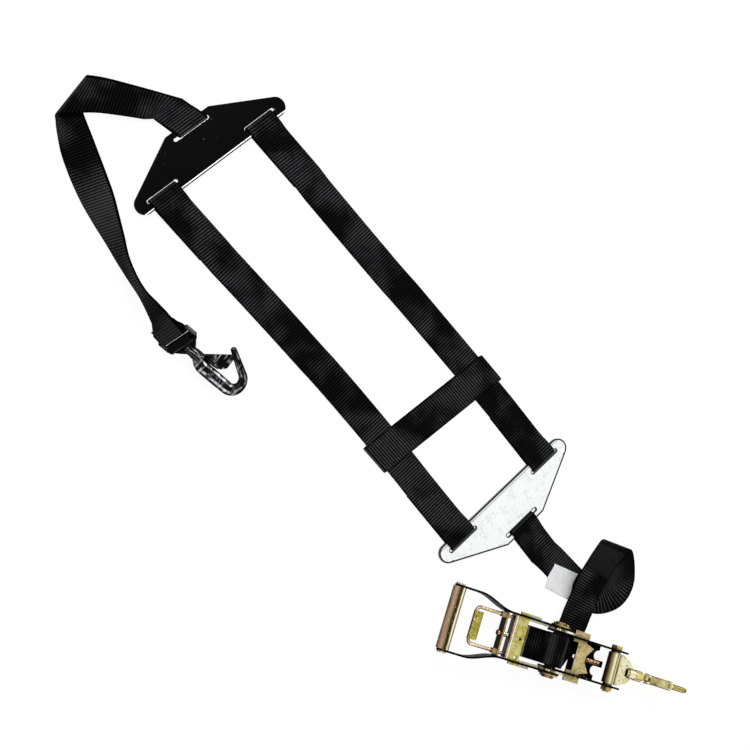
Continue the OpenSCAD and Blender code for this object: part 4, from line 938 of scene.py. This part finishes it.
class TIEDOWN_OT_long_straps(bpy.types.Operator):
    """Lay the two long straps between the plates and sew their four tails"""
    bl_idname = "tiedown.long_straps"
    bl_label = "Long straps"

    def execute(self, context):
        for side, name in ((-1, "left"), (1, "right")):
            rails = long_strap(side)
            lay(name + "_strap", rails, "set", name + "_long_strap")
            end = lay_of(rails)[3][-1]
            loop = TAIL + BASE_BAR + LOOP_MORE
            near, far = loop + 14, loop + TAIL - 8
            sew(name + "_stitches", rails, seam(near, far) + seam(end - far, end - near))
        return {"FINISHED"}


class TIEDOWN_OT_cross_strap(bpy.types.Operator):
    """Lay the sliding loop round both long straps"""
    bl_idname = "tiedown.cross_strap"
    bl_label = "Cross strap"

    def execute(self, context):
        rails = cross_strap()
        lay("cross_loop", rails, "cross", "cross_strap", ring=True)
        top = math.pi * (CROSS_IN + T / 2)
        sew("cross_stitches", rails, rows_at(top + 60, top + 66), "cross", True)
        return {"FINISHED"}


class TIEDOWN_OT_lead_strap(bpy.types.Operator):
    """Lay the lead strap from the head plate, over its fold, to the hook's link"""
    bl_idname = "tiedown.lead_strap"
    bl_label = "Lead strap"

    def execute(self, context):
        rails = lead_strap()
        lay("lead_webbing", rails, "set", "lead_strap")
        loop = LEAD_TAIL + APEX_BAR + LOOP_MORE
        sew("lead_stitches", rails, rows_at(loop + 13, loop + 19, loop + 25))
        return {"FINISHED"}


class TIEDOWN_OT_ratchet_strap(bpy.types.Operator):
    """Lay the ratchet strap with its turned-over loop, its blank patch and its blank label"""
    bl_idname = "tiedown.ratchet_strap"
    bl_label = "Ratchet strap"

    def execute(self, context):
        rails = ratchet_strap()
        lay("ratchet_webbing", rails, "set", "ratchet_strap")
        loop = RATCHET_TAIL + APEX_BAR + LOOP_MORE
        sew("ratchet_stitches", rails, rows_at(loop + 14, loop + 20, loop + 38, loop + 44))
        # the strap is turned over where the patch lies, on one and a half steps of the listed route
        turned_over = rails[::-1]
        first = len(rails[0]) - 1 - STEPS * (len(STRAP) - 1 - PATCH_AT)
        last = first + 9
        lay("front_patch", cut(turned_over, first, last, 0.05), "set", "strap_patch",
            thickness=1.0, lift=T / 2 + 0.7, finish="patch")
        _, _, normal, along = lay_of(turned_over)
        raised = [rail + (T / 2 - 0.1) * normal for rail in turned_over]
        sew("patch_stitches", raised, outline(4.4, along[first] + 1.6, along[last] - 1.6))
        lay("blank_label", tag_rails(), "set", "label_tag",
            thickness=0.8, finish="tag")
        return {"FINISHED"}


class TIEDOWN_OT_drum_roll(bpy.types.Operator):
    """Wind the webbing on the drum and lay its free end under the handle"""
    bl_idname = "tiedown.drum_roll"
    bl_label = "Roll on the drum"

    def execute(self, context):
        lay("drum_roll", drum_roll(), "drum", "drum_winding", ROLL_T)
        lay("free_end", strap_end(), "set", "strap_end")
        return {"FINISHED"}


class TIEDOWN_OT_springs(bpy.types.Operator):
    """Give each of the two pawl springs a mesh of its own"""
    bl_idname = "tiedown.springs"
    bl_label = "Pawl springs"

    def execute(self, context):
        for pawl, joint, side in (("drive", "release_slide", -1), ("locking", "lock_slide", 1)):
            spring = frame["nodes"][pawl + "_spring"]
            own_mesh(spring)
        return {"FINISHED"}


def put(obj, x, y, z, at):
    """Sets down a lamp or camera by its three axes and its place."""
    bpy.context.scene.collection.objects.link(obj)
    obj.matrix_world = Matrix(np.vstack([np.column_stack([x, y, z, at]), [0, 0, 0, 1]]).tolist())


def make_floor():
    """A pale floor just below the lowest piece, which the camera sees as plain white with shadows."""
    floor = Paint("floor")
    floor.finish(Base_Color=(0.9, 0.9, 0.9), Roughness=0.9, Specular_IOR_Level=0.1)
    glow = floor.node("Emission", values={"Color": (1.0, 1.0, 1.0), "Strength": 1.06})
    rays = [floor.node("LightPath", out=ray) for ray in ("Is Camera Ray", "Is Glossy Ray")]
    seen = rays[0].at_least(rays[1])
    own = Value(floor, floor.shader.outputs[0])
    mixed = floor.node("MixShader", values={0: seen * 0.88, 1: own, 2: glow})
    floor.plug(mixed, floor.tree.nodes["Material Output"].inputs[0])
    level = CAD_BOX[0][2] - 0.0002
    corners = [(-4, -4, level), (4, -4, level), (4, 4, level), (-4, 4, level)]
    mesh_piece("floor", corners, [(0, 1, 2, 3)], floor.mat, flat=True)


def make_sky(scene):
    """A white world, dimmer as a light than as the background."""
    scene.world = bpy.data.worlds.new("studio")
    scene.world.use_nodes = True
    sky = Tree(scene.world.node_tree)
    kinds = ("Is Camera Ray", "Is Glossy Ray", "Is Transmission Ray")
    rays = [sky.node("LightPath", out=kind) for kind in kinds]
    shown = rays[0].at_least(rays[1]).at_least(rays[2])
    back = sky.tree.nodes["Background"]
    back.inputs["Color"].default_value = (1, 1, 1, 1)
    sky.plug(0.32 + 0.68 * shown, back.inputs["Strength"])


def make_lamp(name, place, size, power, aim):
    """A square lamp that looks at a point."""
    light = bpy.data.lights.new(name, "AREA")
    light.size = size
    light.energy = power
    back = unit(np.array(place) - np.array(aim))
    side = unit(np.cross((0, 0, 1), back))
    put(bpy.data.objects.new(name, light), side, np.cross(back, side), back, place)


def make_camera(scene):
    """The camera, by its place over the set in mm and the ways that it looks and has its right."""
    camera = bpy.data.cameras.new("camera")
    camera.sensor_width = 36.0
    camera.lens = 1.8 * camera.sensor_width
    right = unit(np.array([0.63629, 0.68359, 0.35754]))
    forward = unit(np.array([0.21160, 0.29104, -0.93302]))
    place = (np.array([-430.41, -592.0, 1897.85]) - MIDDLE) * MM
    scene.camera = bpy.data.objects.new("camera", camera)
    put(scene.camera, right, np.cross(right, forward), -forward, place)


class TIEDOWN_OT_stage(bpy.types.Operator):
    """Floor, world, lights and camera"""
    bl_idname = "tiedown.stage"
    bl_label = "Stage"

    def execute(self, context):
        scene = context.scene
        scene.view_settings.view_transform = "Standard"
        make_floor()
        make_sky(scene)
        power = settings().key_power
        make_lamp("key", (-1.2, 0.9, 2.4), 1.3, power, (0, 0, 0))
        make_lamp("fill", (1.5, -1.2, 2.0), 1.2, power * 0.35, (0.2, 0, 0))
        make_lamp("strip", (0.4, 1.9, 1.4), 0.6, power * 0.35, (0.1, 0, 0))
        make_camera(scene)
        return {"FINISHED"}


OPERATORS = (
    TIEDOWN_OT_finishes, TIEDOWN_OT_long_straps, TIEDOWN_OT_cross_strap, TIEDOWN_OT_lead_strap,
    TIEDOWN_OT_ratchet_strap, TIEDOWN_OT_drum_roll, TIEDOWN_OT_springs, TIEDOWN_OT_stage,
)


class TIEDOWN_PT_panel(bpy.types.Panel):
    """The set's pieces and settings"""
    bl_idname = "TIEDOWN_PT_panel"
    bl_label = "Wheel tie-down set"
    bl_space_type = "VIEW_3D"
    bl_region_type = "UI"
    bl_category = "Tie-down"

    def draw(self, context):
        for name in TieDownSettings.__annotations__:
            self.layout.prop(settings(), name)
        for op in OPERATORS:
            self.layout.operator(op.bl_idname)


CLASSES = (TieDownSettings,) + OPERATORS + (TIEDOWN_PT_panel,)


def register():
    for cls in CLASSES:
        bpy.utils.register_class(cls)
    bpy.types.Scene.tie_down = bpy.props.PointerProperty(type=TieDownSettings)


def unregister():
    del bpy.types.Scene.tie_down
    for cls in reversed(CLASSES):
        bpy.utils.unregister_class(cls)


def main():
    register()
    bpy.ops.tiedown.finishes()
    bpy.ops.tiedown.long_straps()
    bpy.ops.tiedown.cross_strap()
    bpy.ops.tiedown.lead_strap()
    bpy.ops.tiedown.ratchet_strap()
    bpy.ops.tiedown.drum_roll()
    bpy.ops.tiedown.springs()
    bpy.ops.tiedown.stage()


if __name__ == "__main__":
    main()
